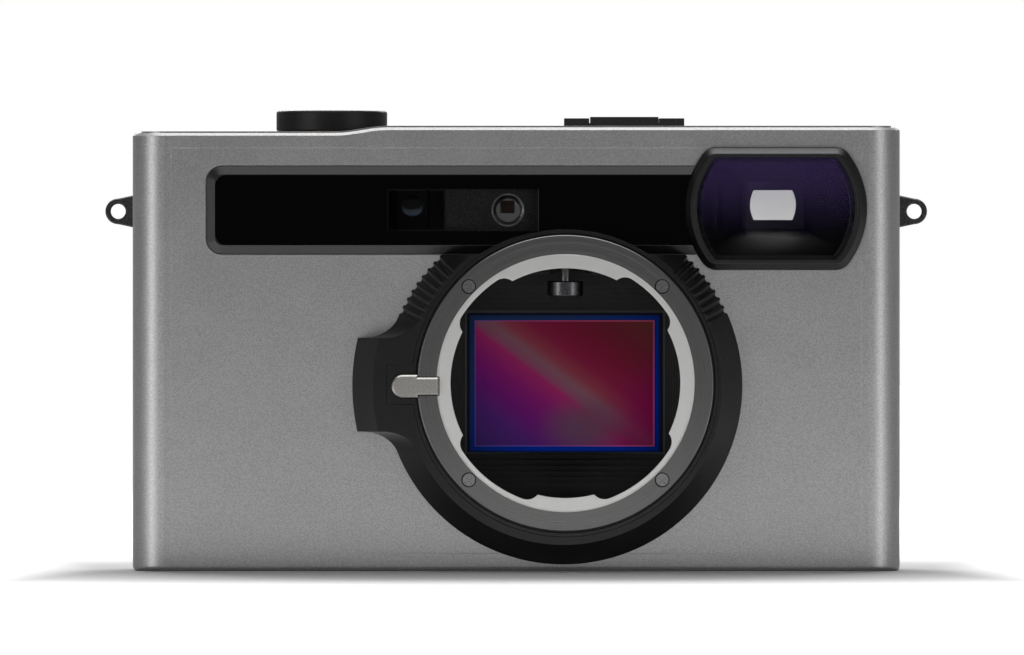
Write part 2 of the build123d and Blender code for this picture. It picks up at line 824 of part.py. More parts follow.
# Surround of the mount: a drafted ring, the release housing and the finger flutes
draft = degrees(atan((surround_base_radius - surround_front_radius) / (surround_front - front_face)))
with BuildPart() as mount_surround:
    with BuildSketch(front(front_face, surround_x, surround_z)):
        Circle(surround_base_radius)
    extrude(amount=surround_front - front_face, taper=draft)
    for level, radius in ((front_face, housing_base_radius), (surround_front, housing_front_radius)):
        with BuildSketch(front(level, surround_x, surround_z)):
            Circle(radius)
            with Locations((-radius / 2, (housing_low + housing_high) / 2 - surround_z)):
                Rectangle(radius, housing_high - housing_low, mode=Mode.INTERSECT)
    loft(ruled=True)
    ring_middle = (surround_base_radius + surround_front_radius) / 2
    housing_half = (housing_high - housing_low) / 2
    corner_reach = sqrt(ring_middle**2 - housing_half**2)
    inner_corners = mount_surround.edges().filter_by(
        lambda e: abs(e.center().X - surround_x + corner_reach) < surround_flare / 2
        and abs(e.center().Z - surround_z) < housing_half + surround_flare / 2
        and abs(e.center().Y + (front_face + surround_front) / 2) < 1.0
    )
    fillet(inner_corners, housing_fillet)
    slope = radians(draft)
    first_turn = asin((housing_half + flute_clear) / ring_middle)
    for side in (-1, 1):
        for index in range(flute_count):
            turn = first_turn + flute_pitch / ring_middle * index
            turn = turn if side > 0 else radians(180) - turn
            mid_radius = ring_middle + flute_radius - flute_depth
            outward = (cos(turn), 0, sin(turn))
            along = (-sin(slope) * cos(turn), -cos(slope), -sin(slope) * sin(turn))
            groove = Plane(
                origin=(
                    surround_x + mid_radius * outward[0],
                    -(front_face + surround_front) / 2 - 0.2,
                    surround_z + mid_radius * outward[2],
                ),
                z_dir=along,
            )
            with Locations(groove):
                Cylinder(flute_radius, 12.0, mode=Mode.SUBTRACT)
    # above the window's lower edge only a plain ring is left, and it stands clear of the glass
    with BuildSketch(front(front_face)):
        with Locations((surround_x, window_low - gap + surround_base_radius / 2)):
            Rectangle(2 * housing_base_radius, surround_base_radius)
        with Locations((surround_x, surround_z)):
            Circle(bridge_radius, mode=Mode.SUBTRACT)
    extrude(amount=flange_proud, mode=Mode.SUBTRACT)
    with BuildSketch(front(front_face)):
        with Locations((surround_x, window_low - gap + surround_base_radius / 2)):
            Rectangle(2 * housing_base_radius, surround_base_radius)
    extrude(amount=stop_drop - front_face, mode=Mode.SUBTRACT)
    with BuildSketch(front(front_face)):
        with Locations((lens_x, lens_z)):
            Circle(ring_radius + slip)
        with Locations(((plate_left + lens_x - flange_step_radius) / 2, (plate_low + plate_high) / 2)):
            Rectangle(lens_x - flange_step_radius - plate_left + 2 * slip, plate_high - plate_low + 2 * slip)
        with Locations((finder_x, finder_z)):
            add(barrel(finder_radius + gap, finder_half_height + gap, finder_corner))
    extrude(amount=flange_proud, mode=Mode.SUBTRACT)
keep(mount_surround, "mount_surround")

# Mount ring: carries the flange, and its plate guides the release
with BuildPart() as mount_ring:
    with BuildSketch(front(front_face)):
        with Locations((lens_x, lens_z)):
            Circle(ring_radius)
        with Locations(((plate_left + lens_x - flange_step_radius) / 2, (plate_low + plate_high) / 2)):
            Rectangle(lens_x - flange_step_radius - plate_left, plate_high - plate_low)
    extrude(amount=ring_front - front_face)
    with BuildSketch(front(flange_back)):
        with Locations((lens_x, lens_z)):
            Circle(ring_seat_radius)
    extrude(amount=flange_thickness, mode=Mode.SUBTRACT)
    with BuildSketch(front(flange_back - 0.4)):
        with Locations((lens_x, lens_z)):
            Circle(spring_outer + slip)
    extrude(amount=0.4, mode=Mode.SUBTRACT)
    with BuildSketch(front(front_face)):
        with Locations((lens_x, lens_z)):
            Circle(ring_bore)
            with PolarLocations(screw_circle, 4, 45):
                Circle(small_core)
        with Locations((stem_x, button_z)):
            Circle(stem_radius + gap)
    extrude(amount=flange_proud, mode=Mode.SUBTRACT)
    with BuildSketch(front(flange_front + button_proud - button_thickness - release_travel - gap)):
        add(release_outline(gap))
    extrude(amount=flange_proud, mode=Mode.SUBTRACT)
    with BuildSketch(front(front_face)):
        with Locations((lens_x, window_low - gap + surround_base_radius / 2)):
            Rectangle(2 * housing_base_radius, surround_base_radius)
    extrude(amount=stop_drop - front_face, mode=Mode.SUBTRACT)
keep(mount_ring, "mount_ring")

# Bayonet flange that the lens seats on
with BuildPart() as bayonet_flange:
    with BuildSketch(front(flange_back, lens_x, lens_z)):
        Circle(flange_radius)
        Circle(notch_radius, mode=Mode.SUBTRACT)
    extrude(amount=flange_thickness)
    with BuildSketch(front(flange_front - flange_step, lens_x, lens_z)):
        Circle(flange_step_radius)
    extrude(amount=flange_step, mode=Mode.SUBTRACT)
    with BuildSketch(front(flange_front - flange_step - lug_thickness, lens_x, lens_z)):
        Circle(notch_radius + slip)
        add(throat(), mode=Mode.SUBTRACT)
    extrude(amount=lug_thickness)
    rim = bayonet_flange.faces().sort_by(Axis.Y)[0].edges().sort_by(lambda e: e.length)
    chamfer(rim[-1], 0.15)
    with Locations(front(flange_front, lens_x, lens_z)):
        with PolarLocations(screw_circle, 4, 45):
            CounterSinkHole(small_core, small_head, flange_thickness)
    with BuildSketch(front(flange_back)):
        add(release_outline(gap))
    extrude(amount=flange_thickness, mode=Mode.SUBTRACT)
keep(bayonet_flange, "bayonet_flange")

with BuildPart() as flange_screws:
    with Locations(front(flange_front, lens_x, lens_z)):
        with PolarLocations(screw_circle, 4, 45):
            add(screw(small_head, small_core, flange_screw_length))
keep(flange_screws, "flange_screws")

# Leaf ring behind the flange that presses the lens lugs
with BuildPart() as bayonet_spring:
    with BuildSketch(front(flange_back - spring_thickness - slip, lens_x, lens_z)):
        Circle(spring_outer)
        Circle(notch_radius + 2 * gap, mode=Mode.SUBTRACT)
        with BuildSketch() as tongues:
            for start, end in lug_spans:
                add(wedge(notch_radius + 1.0, start + 8, end - 8))
            Circle(spring_inner, mode=Mode.SUBTRACT)
        with PolarLocations(screw_circle, 4, 45):
            Circle(small_core + gap, mode=Mode.SUBTRACT)
    extrude(amount=spring_thickness)
    with BuildSketch(front(flange_back - flange_thickness)):
        add(release_outline(gap))
    extrude(amount=flange_thickness, mode=Mode.SUBTRACT)
keep(bayonet_spring, "bayonet_spring")

# Lens release: pad, lock tab, stem and the collar that stops it
button_back = flange_front + button_proud - button_thickness
stem_end = inner_front - slip - stem_collar_thickness - 1.2
with BuildPart() as lens_release_button:
    with BuildSketch(front(button_back)):
        add(release_outline(0))
    extrude(amount=button_thickness)
    chamfer(lens_release_button.faces().sort_by(Axis.Y)[0].edges(), button_edge)
    with BuildSketch(front(stem_end)):
        with Locations((stem_x, button_z)):
            Circle(stem_radius)
    extrude(amount=button_back - stem_end)
    with BuildSketch(front(inner_front - slip - stem_collar_thickness)):
        with Locations((stem_x, button_z)):
            Circle(stem_collar)
    extrude(amount=stem_collar_thickness)
keep(lens_release_button, "lens_release_button")

# Leaf spring of the release, drawn as it stands when the button is pressed home
with BuildPart() as release_leaf:
    leaf_depth = stem_end - release_travel - gap - 0.3
    with BuildSketch(front(leaf_depth)):
        with Locations((stem_x, button_z + leaf_length / 2 - 2.0)):
            Rectangle(leaf_width, leaf_length)
    extrude(amount=0.3)
    with BuildSketch(front(leaf_depth)):
        with Locations((stem_x, button_z + leaf_length - 3.0)):
            Rectangle(leaf_width, 2.0)
    extrude(amount=inner_front - leaf_depth)
keep(release_leaf, "release_leaf_spring")

# Frame of the long window: a bevelled bar above, below and at the left of the glass
bevel_angle = degrees(atan(bevel_width / bevel_depth))
with BuildPart() as window_frame:
    frame_width = finder_x - window_left
    with BuildSketch(front(pocket_floor)):
        with Locations((window_left + frame_width / 2, window_z)):
            RectangleRounded(frame_width, window_height, window_corner)
    extrude(amount=pocket_depth)
    with BuildSketch(front(front_face)):
        with Locations((window_left + frame_width / 2, window_z)):
            RectangleRounded(frame_width, window_height, window_corner)
    extrude(amount=bevel_depth, taper=bevel_angle)
    with BuildSketch(front(pocket_floor)):
        add(window_outline(bevel_width + slip))
        with Locations((finder_x, finder_z)):
            Circle(finder_radius + slip)
    extrude(amount=pocket_depth + bevel_depth, mode=Mode.SUBTRACT)
keep(window_frame, "window_frame")

with BuildPart() as window_glass:
    with BuildSketch(front(pocket_floor)):
        add(window_outline(bevel_width + 2 * slip))
    extrude(amount=glass_front - pocket_floor)
keep(window_glass, "window_glass")

# Viewfinder: frame, front lens, tunnel, splitter, eyepiece
finder_bevel = degrees(atan(finder_bevel_width / finder_bevel_depth))
finder_seat = pocket_floor + finder_ledge_thickness
with BuildPart() as viewfinder_frame:
    with BuildSketch(front(pocket_floor, finder_x, finder_z)):
        add(barrel(finder_radius, finder_half_height, finder_corner))
    extrude(amount=finder_front - finder_bevel_depth - pocket_floor)
    with BuildSketch(front(finder_front - finder_bevel_depth, finder_x, finder_z)):
        add(barrel(finder_radius, finder_half_height, finder_corner))
    extrude(amount=finder_bevel_depth, taper=finder_bevel)
    with BuildSketch(front(finder_seat, finder_x, finder_z)):
        add(barrel(finder_glass_radius + slip, finder_glass_half_height + slip, finder_glass_corner))
    extrude(amount=finder_front - finder_seat, mode=Mode.SUBTRACT)
    with BuildSketch(front(finder_front - lip_depth, finder_x, finder_z)):
        add(barrel(finder_glass_radius + lip_width, finder_glass_half_height + lip_width, finder_glass_corner))
    extrude(amount=lip_depth, mode=Mode.SUBTRACT)
    with BuildSketch(front(pocket_floor, finder_x, finder_z)):
        add(
            barrel(
                finder_glass_radius - finder_ledge,
                finder_glass_half_height - finder_ledge,
                finder_glass_corner,
            )
        )
    extrude(amount=finder_ledge_thickness, mode=Mode.SUBTRACT)
keep(viewfinder_frame, "viewfinder_frame")

with BuildPart() as viewfinder_front_lens:
    with BuildSketch(front(finder_seat, finder_x, finder_z)):
        add(barrel(finder_glass_radius, finder_glass_half_height, finder_glass_corner))
    extrude(amount=finder_front - finder_glass_recess - finder_seat)
    chamfer(viewfinder_front_lens.faces().sort_by(Axis.Y)[0].edges(), 0.2)
keep(viewfinder_front_lens, "viewfinder_front_lens")


def funnel(grow):
    """Tapering box from behind the front lens to the eyepiece, grown outwards by a wall."""
    with BuildPart() as box:
        with BuildSketch(front(inner_front, finder_x, finder_z)):
            Rectangle(2 * (tunnel_front_half_width + grow), 2 * (tunnel_front_half_height + grow))
        with BuildSketch(front(cover_inner, eyepiece_x, eyepiece_z)):
            Rectangle(2 * (tunnel_back_half_width + grow), 2 * (tunnel_back_half_height + grow))
        loft(ruled=True)
    return box.part


splitter_plane = Plane(origin=(finder_x, -mirror_depth, finder_z), z_dir=(-1, 1, 0))
splitter_height = 2 * (tunnel_front_half_height - 1.4)
with BuildPart() as viewfinder_tunnel:
    add(funnel(tunnel_wall))
    add(funnel(0), mode=Mode.SUBTRACT)
    with Locations(splitter_plane):
        Box(splitter_height, splitter_length, splitter_thickness, mode=Mode.SUBTRACT)
    with Locations((finder_x - tunnel_front_half_width + 2.5, -mirror_depth, finder_z)):
        Box(9.0, 0.7 * mirror_size, mirror_size, mode=Mode.SUBTRACT)
keep(viewfinder_tunnel, "viewfinder_tunnel")

with BuildPart() as beam_splitter:
    with Locations(splitter_plane):
        Box(splitter_height, splitter_length, splitter_thickness)
keep(beam_splitter, "beam_splitter")

eyepiece_seat = back_face + 0.9
with BuildPart() as eyepiece_ring:
    with BuildSketch(front(back_face, eyepiece_x, eyepiece_z)):
        Circle(eyepiece_tube_radius - slip)
    extrude(amount=cover_thickness)
    with BuildSketch(front(back_face - eyepiece_proud, eyepiece_x, eyepiece_z)):
        Circle(eyepiece_flange_radius)
    extrude(amount=eyepiece_proud)
    fillet(eyepiece_ring.faces().sort_by(Axis.Y)[-1].edges(), 0.5)
    with BuildSketch(front(back_face - eyepiece_proud, eyepiece_x, eyepiece_z)):
        Circle(eyepiece_lens_radius + slip)
    extrude(amount=eyepiece_proud + eyepiece_seat - back_face, mode=Mode.SUBTRACT)
    with BuildSketch(front(eyepiece_seat, eyepiece_x, eyepiece_z)):
        with BuildLine():
            Line((-eyepiece_width / 2, -eyepiece_height / 2), (eyepiece_width / 2, -eyepiece_height / 2))
            ThreePointArc(
                (eyepiece_width / 2, -eyepiece_height / 2),
                (eyepiece_width / 2 + eyepiece_bulge, 0),
                (eyepiece_width / 2, eyepiece_height / 2),
            )
            Line((eyepiece_width / 2, eyepiece_height / 2), (-eyepiece_width / 2, eyepiece_height / 2))
            ThreePointArc(
                (-eyepiece_width / 2, eyepiece_height / 2),
                (-eyepiece_width / 2 - eyepiece_bulge, 0),
                (-eyepiece_width / 2, -eyepiece_height / 2),
            )
        make_face()
    extrude(amount=cover_thickness, mode=Mode.SUBTRACT)
keep(eyepiece_ring, "eyepiece_ring")

with BuildPart() as eyepiece_lens:
    with Locations(rear(eyepiece_seat, eyepiece_x, eyepiece_z)):
        add(lens(eyepiece_lens_radius, 1.0, 0.5))
keep(eyepiece_lens, "eyepiece_lens")

# Rangefinder window, meter and their pieces
module_low = module_z - module_height / 2
module_front = pocket_floor - slip
with BuildPart() as rf_window_mask:
    with BuildSketch(front(module_front - mask_depth)):
        with Locations(((module_left + module_middle) / 2, module_z)):
            RectangleRounded(module_middle - module_left, module_height, 0.5)
            RectangleRounded(
                module_middle - module_left - 2 * mask_wall,
                module_height - 2 * mask_wall,
                0.6,
                mode=Mode.SUBTRACT,
            )
    extrude(amount=mask_depth)
keep(rf_window_mask, "rf_window_mask")

with BuildPart() as meter_housing:
    with BuildSketch(front(module_front - meter_depth)):
        with Locations(((module_middle + module_right) / 2, module_z)):
            Rectangle(module_right - module_middle, module_height)
    extrude(amount=meter_depth)
    with BuildSketch(front(module_front - dish_depth - gap, dish_x, module_z)):
        Circle(dish_radius + slip)
    extrude(amount=dish_depth + gap, mode=Mode.SUBTRACT)
keep(meter_housing, "meter_housing")

with BuildPart() as meter_reflector:
    with BuildSketch(Plane.XZ):
        with BuildLine():
            Polyline(
                (0, 0),
                (dish_radius, 0),
                (dish_radius, dish_depth),
                (dish_radius - 0.2, dish_depth),
            )
            ThreePointArc(
                (dish_radius - 0.2, dish_depth),
                (0.87 * dish_radius, 0.52 * dish_depth),
                (dish_floor_radius, dish_floor),
            )
            Polyline((dish_floor_radius, dish_floor), (0, dish_floor), (0, 0))
        make_face()
    revolve(axis=Axis.Z)
    meter_reflector.part = front(module_front - dish_depth - gap, dish_x, module_z).location * meter_reflector.part
keep(meter_reflector, "meter_reflector")

with BuildPart() as meter_cell:
    cell_back = module_front - dish_depth - gap + dish_floor
    with BuildSketch(front(cell_back, dish_x + cell_shift[0], module_z + cell_shift[1])):
        Rectangle(cell_width, cell_height)
    extrude(amount=0.7)
    chamfer(meter_cell.faces().sort_by(Axis.Y)[0].edges(), 0.15)
keep(meter_cell, "meter_cell")

# Rangefinder chassis: shelf behind the windows, mirror stand and the arm's pivot
shelf_top = shelf_low + shelf_thickness
shelf_left = module_left - shelf_overhang
shelf_right = finder_x - tunnel_front_half_width - tunnel_wall - shelf_end_gap
lower_shelf_top = arm_low - lower_shelf_gap
mirror_plane = Plane(origin=(rf_x, -mirror_depth, module_z + mirror_rise), z_dir=(1, -1, 0))
with BuildPart() as rangefinder_chassis:
    with BuildSketch(Plane.XY.offset(shelf_low)):
        with Locations(((shelf_left + shelf_right) / 2, shelf_y)):
            Rectangle(shelf_right - shelf_left, shelf_depth)
    extrude(amount=shelf_thickness)
    with BuildSketch(Plane.XY.offset(shelf_low)):
        with Locations((rf_x, -pivot_depth)):
            Circle(hub_radius + 2 * gap)
    extrude(amount=shelf_thickness, mode=Mode.SUBTRACT)
    with BuildSketch(Plane.XY.offset(lower_shelf_top - shelf_thickness)):
        with Locations((rf_x - lower_shelf_shift, lower_shelf_y)):
            Rectangle(lower_shelf_width, lower_shelf_depth)
    extrude(amount=shelf_thickness)
    with BuildSketch(Plane.XY.offset(lower_shelf_top - shelf_thickness)):
        with Locations((rf_x - lower_shelf_shift, shelf_leg_inset)):
            Rectangle(lower_shelf_width, shelf_leg_thickness)
    extrude(amount=shelf_top - lower_shelf_top + shelf_thickness)
    with BuildSketch(Plane.XY.offset(lower_shelf_top - shelf_thickness)):
        with Locations((rf_x, -pivot_depth)):
            Circle(pivot_radius)
    extrude(amount=shelf_top + pivot_rise - lower_shelf_top + shelf_thickness)
    stand = mirror_plane.offset(-(mirror_thickness + stand_thickness) / 2).origin
    with BuildSketch(Plane.XY.offset(shelf_top)):
        with Locations((stand.X, stand.Y)):
            Rectangle(1.2 * mirror_size, stand_thickness, rotation=45)
    extrude(amount=stand.Z + mirror_size / 2 - shelf_top)
keep(rangefinder_chassis, "rangefinder_chassis")

with BuildPart() as rf_mirror:
    with Locations(mirror_plane):
        Box(mirror_size, mirror_size, mirror_thickness)
keep(rf_mirror, "rf_mirror")

# Cam follower arm with the roller's pin, and the rangefinder's lens carrier on the same hub
roller_seat = roller_low + roller_pin_head
with BuildPart() as rf_arm:
    arm_run = Vector(lens_x - rf_x, -roller_depth + pivot_depth)
    arm_turn = degrees(atan(arm_run.Y / arm_run.X))
    with BuildSketch(Plane.XY.offset(arm_low)):
        with Locations((rf_x, -pivot_depth)):
            Circle(hub_radius)
        with Locations((lens_x, -roller_depth)):
            Circle(roller_boss)
        with Locations(((rf_x + lens_x) / 2, -(pivot_depth + roller_depth) / 2)):
            Rectangle(arm_run.length, arm_width, rotation=arm_turn)
    extrude(amount=arm_thickness)
    with BuildSketch(Plane.XY.offset(lower_shelf_top + gap)):
        with Locations((rf_x, -pivot_depth)):
            Circle(hub_radius)
    extrude(amount=shelf_top + 1.2 - lower_shelf_top - gap)
    carrier_depth = inner_front - 0.9
    with BuildSketch(Plane.XY.offset(shelf_top + 0.2)):
        with Locations((rf_x, -(pivot_depth + carrier_depth) / 2)):
            Rectangle(arm_width, carrier_depth - pivot_depth)
    extrude(amount=1.0)
    with BuildSketch(front(carrier_depth - 1.4)):
        with Locations((rf_x, (shelf_top + 0.2 + module_z + 3.7) / 2)):
            Rectangle(carrier_width, module_z + 3.5 - shelf_top)
        with Locations((rf_x, module_z + rf_lens_rise)):
            Circle(rf_lens_radius, mode=Mode.SUBTRACT)
    extrude(amount=1.4)
    with BuildSketch(Plane.XY.offset(lower_shelf_top)):
        with Locations((rf_x, -pivot_depth)):
            Circle(pivot_radius + running)
    extrude(amount=roof * 3, mode=Mode.SUBTRACT)
    with BuildSketch(Plane.XY.offset(roller_seat - running)):
        with Locations((lens_x, -roller_depth)):
            Circle(roller_pin_radius)
    extrude(amount=arm_low - roller_seat + running)
    with BuildSketch(Plane.XY.offset(roller_seat - running)):
        with Locations((lens_x, -roller_depth)):
            Circle(roller_pin_head_radius)
    extrude(amount=running - roller_pin_head)
keep(rf_arm, "rf_arm")

with BuildPart() as rf_lens:
    with Locations(front(carrier_depth - 1.4, rf_x, module_z + rf_lens_rise)):
        add(lens(rf_lens_radius, 1.3, 0.4))
keep(rf_lens, "rf_lens")

with BuildPart() as rf_arm_spring:
    with Locations((rf_x, -pivot_depth)):
        add(ring_coil(coil_radius, coil_wire, arm_low + arm_thickness + gap, shelf_low - gap))
    with Locations((rf_x, -pivot_depth + coil_radius, shelf_low)):
        Cylinder(0.4 * coil_wire, coil_tail, align=(Align.CENTER, Align.CENTER, Align.MAX))
keep(rf_arm_spring, "rf_arm_spring")

with BuildPart() as rf_roller:
    with BuildSketch(Plane.XY.offset(roller_low)):
        with Locations((lens_x, -roller_depth)):
            Circle(roller_radius)
            Circle(roller_pin_radius + running, mode=Mode.SUBTRACT)
    extrude(amount=roller_height)
    with BuildSketch(Plane.XY.offset(roller_low)):
        with Locations((lens_x, -roller_depth)):
            Circle(roller_pin_head_radius + gap)
    extrude(amount=roller_pin_head, mode=Mode.SUBTRACT)
    round_edges = rf_roller.edges().filter_by(GeomType.CIRCLE).sort_by(lambda e: e.radius)[-2:]
    chamfer(round_edges, 0.2)
keep(rf_roller, "rf_roller")

# Black chamber between mount and sensor, its mouth cut in steps that stop stray light
chamber_top = arm_low - 0.2
chamber_back = sensor_plane + package_rim + 0.4
with BuildPart() as light_baffle:
    with BuildSketch(front(chamber_back)):
        with Locations((lens_x, (chamber_low + chamber_top) / 2)):
            Rectangle(2 * chamber_half_width, chamber_top - chamber_low)
    extrude(amount=inner_front - chamber_back)
    with BuildSketch(front(chamber_face_depth)):
        with Locations((lens_x, (chamber_low + chamber_top) / 2 + 0.6)):
            Rectangle(2 * (chamber_half_width - chamber_wall), chamber_top - chamber_low - 2.8)
    extrude(amount=inner_front - chamber_face_depth, mode=Mode.SUBTRACT)
    with BuildSketch(front(chamber_face_depth + 1.0)):
        with Locations((lens_x + 1.0, chamber_top)):
            Rectangle(2 * roller_boss + 3.0, 4.0)
    extrude(amount=inner_front - chamber_face_depth, mode=Mode.SUBTRACT)
    tread = (chamber_face_depth - chamber_back) / aperture_steps
    for step in range(aperture_steps):
        with BuildSketch(front(chamber_back + step * tread)):
            with Locations((lens_x, lens_z + step * (step_up - step_down) / 2)):
                Rectangle(
                    aperture_width + 2 * step * step_side,
                    aperture_height + step * (step_up + step_down),
                )
        extrude(amount=tread, mode=Mode.SUBTRACT)
    board_front = sensor_plane - package_thickness
    with BuildSketch(front(board_front)):
        with Locations(*sensor_posts):
            Circle(sensor_post_radius)
    extrude(amount=chamber_back - board_front)
    with BuildSketch(front(board_front)):
        with Locations(*sensor_posts):
            Circle(small_core)
    extrude(amount=chamber_back - board_front + 4.0, mode=Mode.SUBTRACT)
keep(light_baffle, "light_baffle")

# Sensor, its glass, board, bracket and screws
with BuildPart() as sensor_chip:
    with BuildSketch(front(board_front, lens_x, lens_z)):
        Rectangle(package_width, package_height)
    extrude(amount=package_thickness + package_rim)
    with BuildSketch(front(sensor_plane, lens_x, lens_z)):
        Rectangle(sensor_width + 2 * slip, sensor_height + 2 * slip)
    extrude(amount=package_rim, mode=Mode.SUBTRACT)
keep(sensor_chip, "sensor_chip")

with BuildPart() as sensor_cover_glass:
    with BuildSketch(front(sensor_plane + package_rim - gap - sensor_glass_thickness, lens_x, lens_z)):
        Rectangle(sensor_width, sensor_height)
    extrude(amount=sensor_glass_thickness)
keep(sensor_cover_glass, "sensor_cover_glass")

with BuildPart() as sensor_board:
    with BuildSketch(front(board_front - sensor_board_thickness)):
        with Locations((lens_x, lens_z)):
            RectangleRounded(sensor_board_width, sensor_board_height, 2.0)
        with Locations(*sensor_posts):
            Circle(small_core, mode=Mode.SUBTRACT)
    extrude(amount=sensor_board_thickness)
keep(sensor_board, "sensor_board")

bracket_front = board_front - sensor_board_thickness
bracket_back = bracket_front - bracket_thickness
with BuildPart() as sensor_bracket:
    with BuildSketch(front(bracket_back)):
        with Locations((lens_x, lens_z)):
            RectangleRounded(sensor_board_width + 1.0, sensor_board_height + 1.0, 2.0)
    extrude(amount=bracket_thickness)
    with BuildSketch(front(bracket_back - main_board_gap)):
        with Locations((lens_x, lens_z)):
            with GridLocations(30.0, 24.0, 2, 2):
                Circle(1.8)
    extrude(amount=main_board_gap)
    with Locations(rear(bracket_back)):
        with Locations(*[(-x, z) for x, z in sensor_posts]):
            CounterSinkHole(small_core, small_head, bracket_thickness)
keep(sensor_bracket, "sensor_bracket")

with BuildPart() as sensor_screws:
    with Locations(rear(bracket_back)):
        with Locations(*[(-x, z) for x, z in sensor_posts]):
            add(screw(small_head, small_core, chamber_back - bracket_back + 3.8))
keep(sensor_screws, "sensor_screws")

board_back = bracket_back - main_board_gap - main_board_thickness
with BuildPart() as main_board:
    with BuildSketch(front(board_back)):
        with Locations((lens_x, lens_z - 4.0)):
            RectangleRounded(main_board_width, main_board_height, 1.5)
    extrude(amount=main_board_thickness)
    with BuildSketch(rear(board_back, lens_x + 8.0, lens_z)):
        Rectangle(processor_size, processor_size)
    extrude(amount=processor_thickness)
keep(main_board, "main_board")

# Speed dial on its bearing, with the shutter release in the middle
dial_low = lower_deck + gap
lip_low = bearing_top - 0.35
with BuildPart() as dial_bearing:
    with BuildSketch(Plane.XY.offset(bearing_web_low)):
        with Locations((dial_x, 0)):
            Circle(bearing_radius)
    extrude(amount=bearing_top - bearing_web_low)
    with BuildSketch(Plane.XY.offset(lip_low)):
        with Locations((dial_x, 0)):
            Circle(bearing_radius + bearing_lip)
    extrude(amount=bearing_top - lip_low)
    with BuildSketch(Plane.XY.offset(ceiling - 1.2)):
        with Locations((dial_x, 0)):
            Circle(bearing_flange)
    extrude(amount=1.2)
    with BuildSketch(Plane.XY.offset(ceiling - 1.2)):
        with Locations((dial_x, 0)):
            Circle(bearing_radius)
    extrude(amount=bearing_web_low - ceiling + 1.2)
    with BuildSketch(Plane.XY.offset(ceiling - 1.2)):
        with Locations((dial_x, 0)):
            Circle(bearing_bore)
    extrude(amount=bearing_web_low - ceiling + 1.2, mode=Mode.SUBTRACT)
    with BuildSketch(Plane.XY.offset(bearing_web_top)):
        with Locations((dial_x, 0)):
            Circle(bearing_bore)
    extrude(amount=bearing_top - bearing_web_top, mode=Mode.SUBTRACT)
    with BuildSketch(Plane.XY.offset(bearing_web_low)):
        with Locations((dial_x, 0)):
            Circle(shutter_stem + running)
    extrude(amount=bearing_web_top - bearing_web_low, mode=Mode.SUBTRACT)
keep(dial_bearing, "dial_bearing")

with BuildPart() as speed_dial:
    with BuildSketch(Plane.XY.offset(dial_low)):
        with Locations((dial_x, 0)):
            Circle(dial_radius)
    extrude(amount=dial_top - dial_low)
    fillet(speed_dial.faces().sort_by(Axis.Z)[-1].edges(), dial_edge)
    chamfer(speed_dial.faces().sort_by(Axis.Z)[0].edges(), 0.2)
    with BuildSketch(Plane.XY.offset(dial_low)):
        with Locations((dial_x, 0)):
            Circle(bearing_radius + running)
    extrude(amount=dial_top - dial_low, mode=Mode.SUBTRACT)
    with BuildSketch(Plane.XY.offset(lip_low - gap)):
        with Locations((dial_x, 0)):
            Circle(bearing_radius + bearing_lip + gap)
    extrude(amount=dial_top - dial_low, mode=Mode.SUBTRACT)
keep(speed_dial, "speed_dial")

cap_low = shutter_top - 2.0
collar_top = bearing_web_low - running
with BuildPart() as shutter_button:
    with BuildSketch(Plane.XY.offset(cap_low)):
        with Locations((dial_x, 0)):
            Circle(shutter_radius)
    extrude(amount=shutter_top - cap_low)
    fillet(shutter_button.faces().sort_by(Axis.Z)[-1].edges(), 0.4)
    dish_curve = (shutter_radius**2 + shutter_dish**2) / (2 * shutter_dish)
    with Locations((dial_x, 0, shutter_top - shutter_dish + dish_curve)):
        Sphere(dish_curve, mode=Mode.SUBTRACT)
    with BuildSketch(Plane.XY.offset(collar_top - collar_to_tip)):
        with Locations((dial_x, 0)):
            Circle(shutter_stem)
    extrude(amount=cap_low - collar_top + collar_to_tip)
    with BuildSketch(Plane.XY.offset(collar_top - collar_thickness)):
        with Locations((dial_x, 0)):
            Circle(collar_radius)
    extrude(amount=collar_thickness)
keep(shutter_button, "shutter_button")

with BuildPart() as shutter_spring:
    with Locations((dial_x, 0)):
        add(ring_coil(shutter_coil_radius, shutter_wire, bearing_web_top, cap_low))
keep(shutter_spring, "shutter_spring")

with BuildPart() as shutter_switch:
    switch_top = collar_top - collar_to_tip - shutter_travel - switch_play
    leg_x = bearing_flange + switch_leg_reach
    with BuildSketch(Plane.XY.offset(switch_top - switch_height)):
        with Locations((dial_x, 0)):
            Rectangle(switch_size, switch_size)
    extrude(amount=switch_height)
    with BuildSketch(Plane.XY.offset(switch_top - switch_height - switch_bracket)):
        with Locations((dial_x, 0)):
            Rectangle(2 * leg_x + switch_bracket, switch_size)
    extrude(amount=switch_bracket)
    with BuildSketch(Plane.XY.offset(switch_top - switch_height - switch_bracket)):
        with Locations((dial_x - leg_x, 0), (dial_x + leg_x, 0)):
            Rectangle(switch_bracket, switch_size)
    extrude(amount=ceiling - switch_top + switch_height + switch_bracket)
keep(shutter_switch, "shutter_switch")

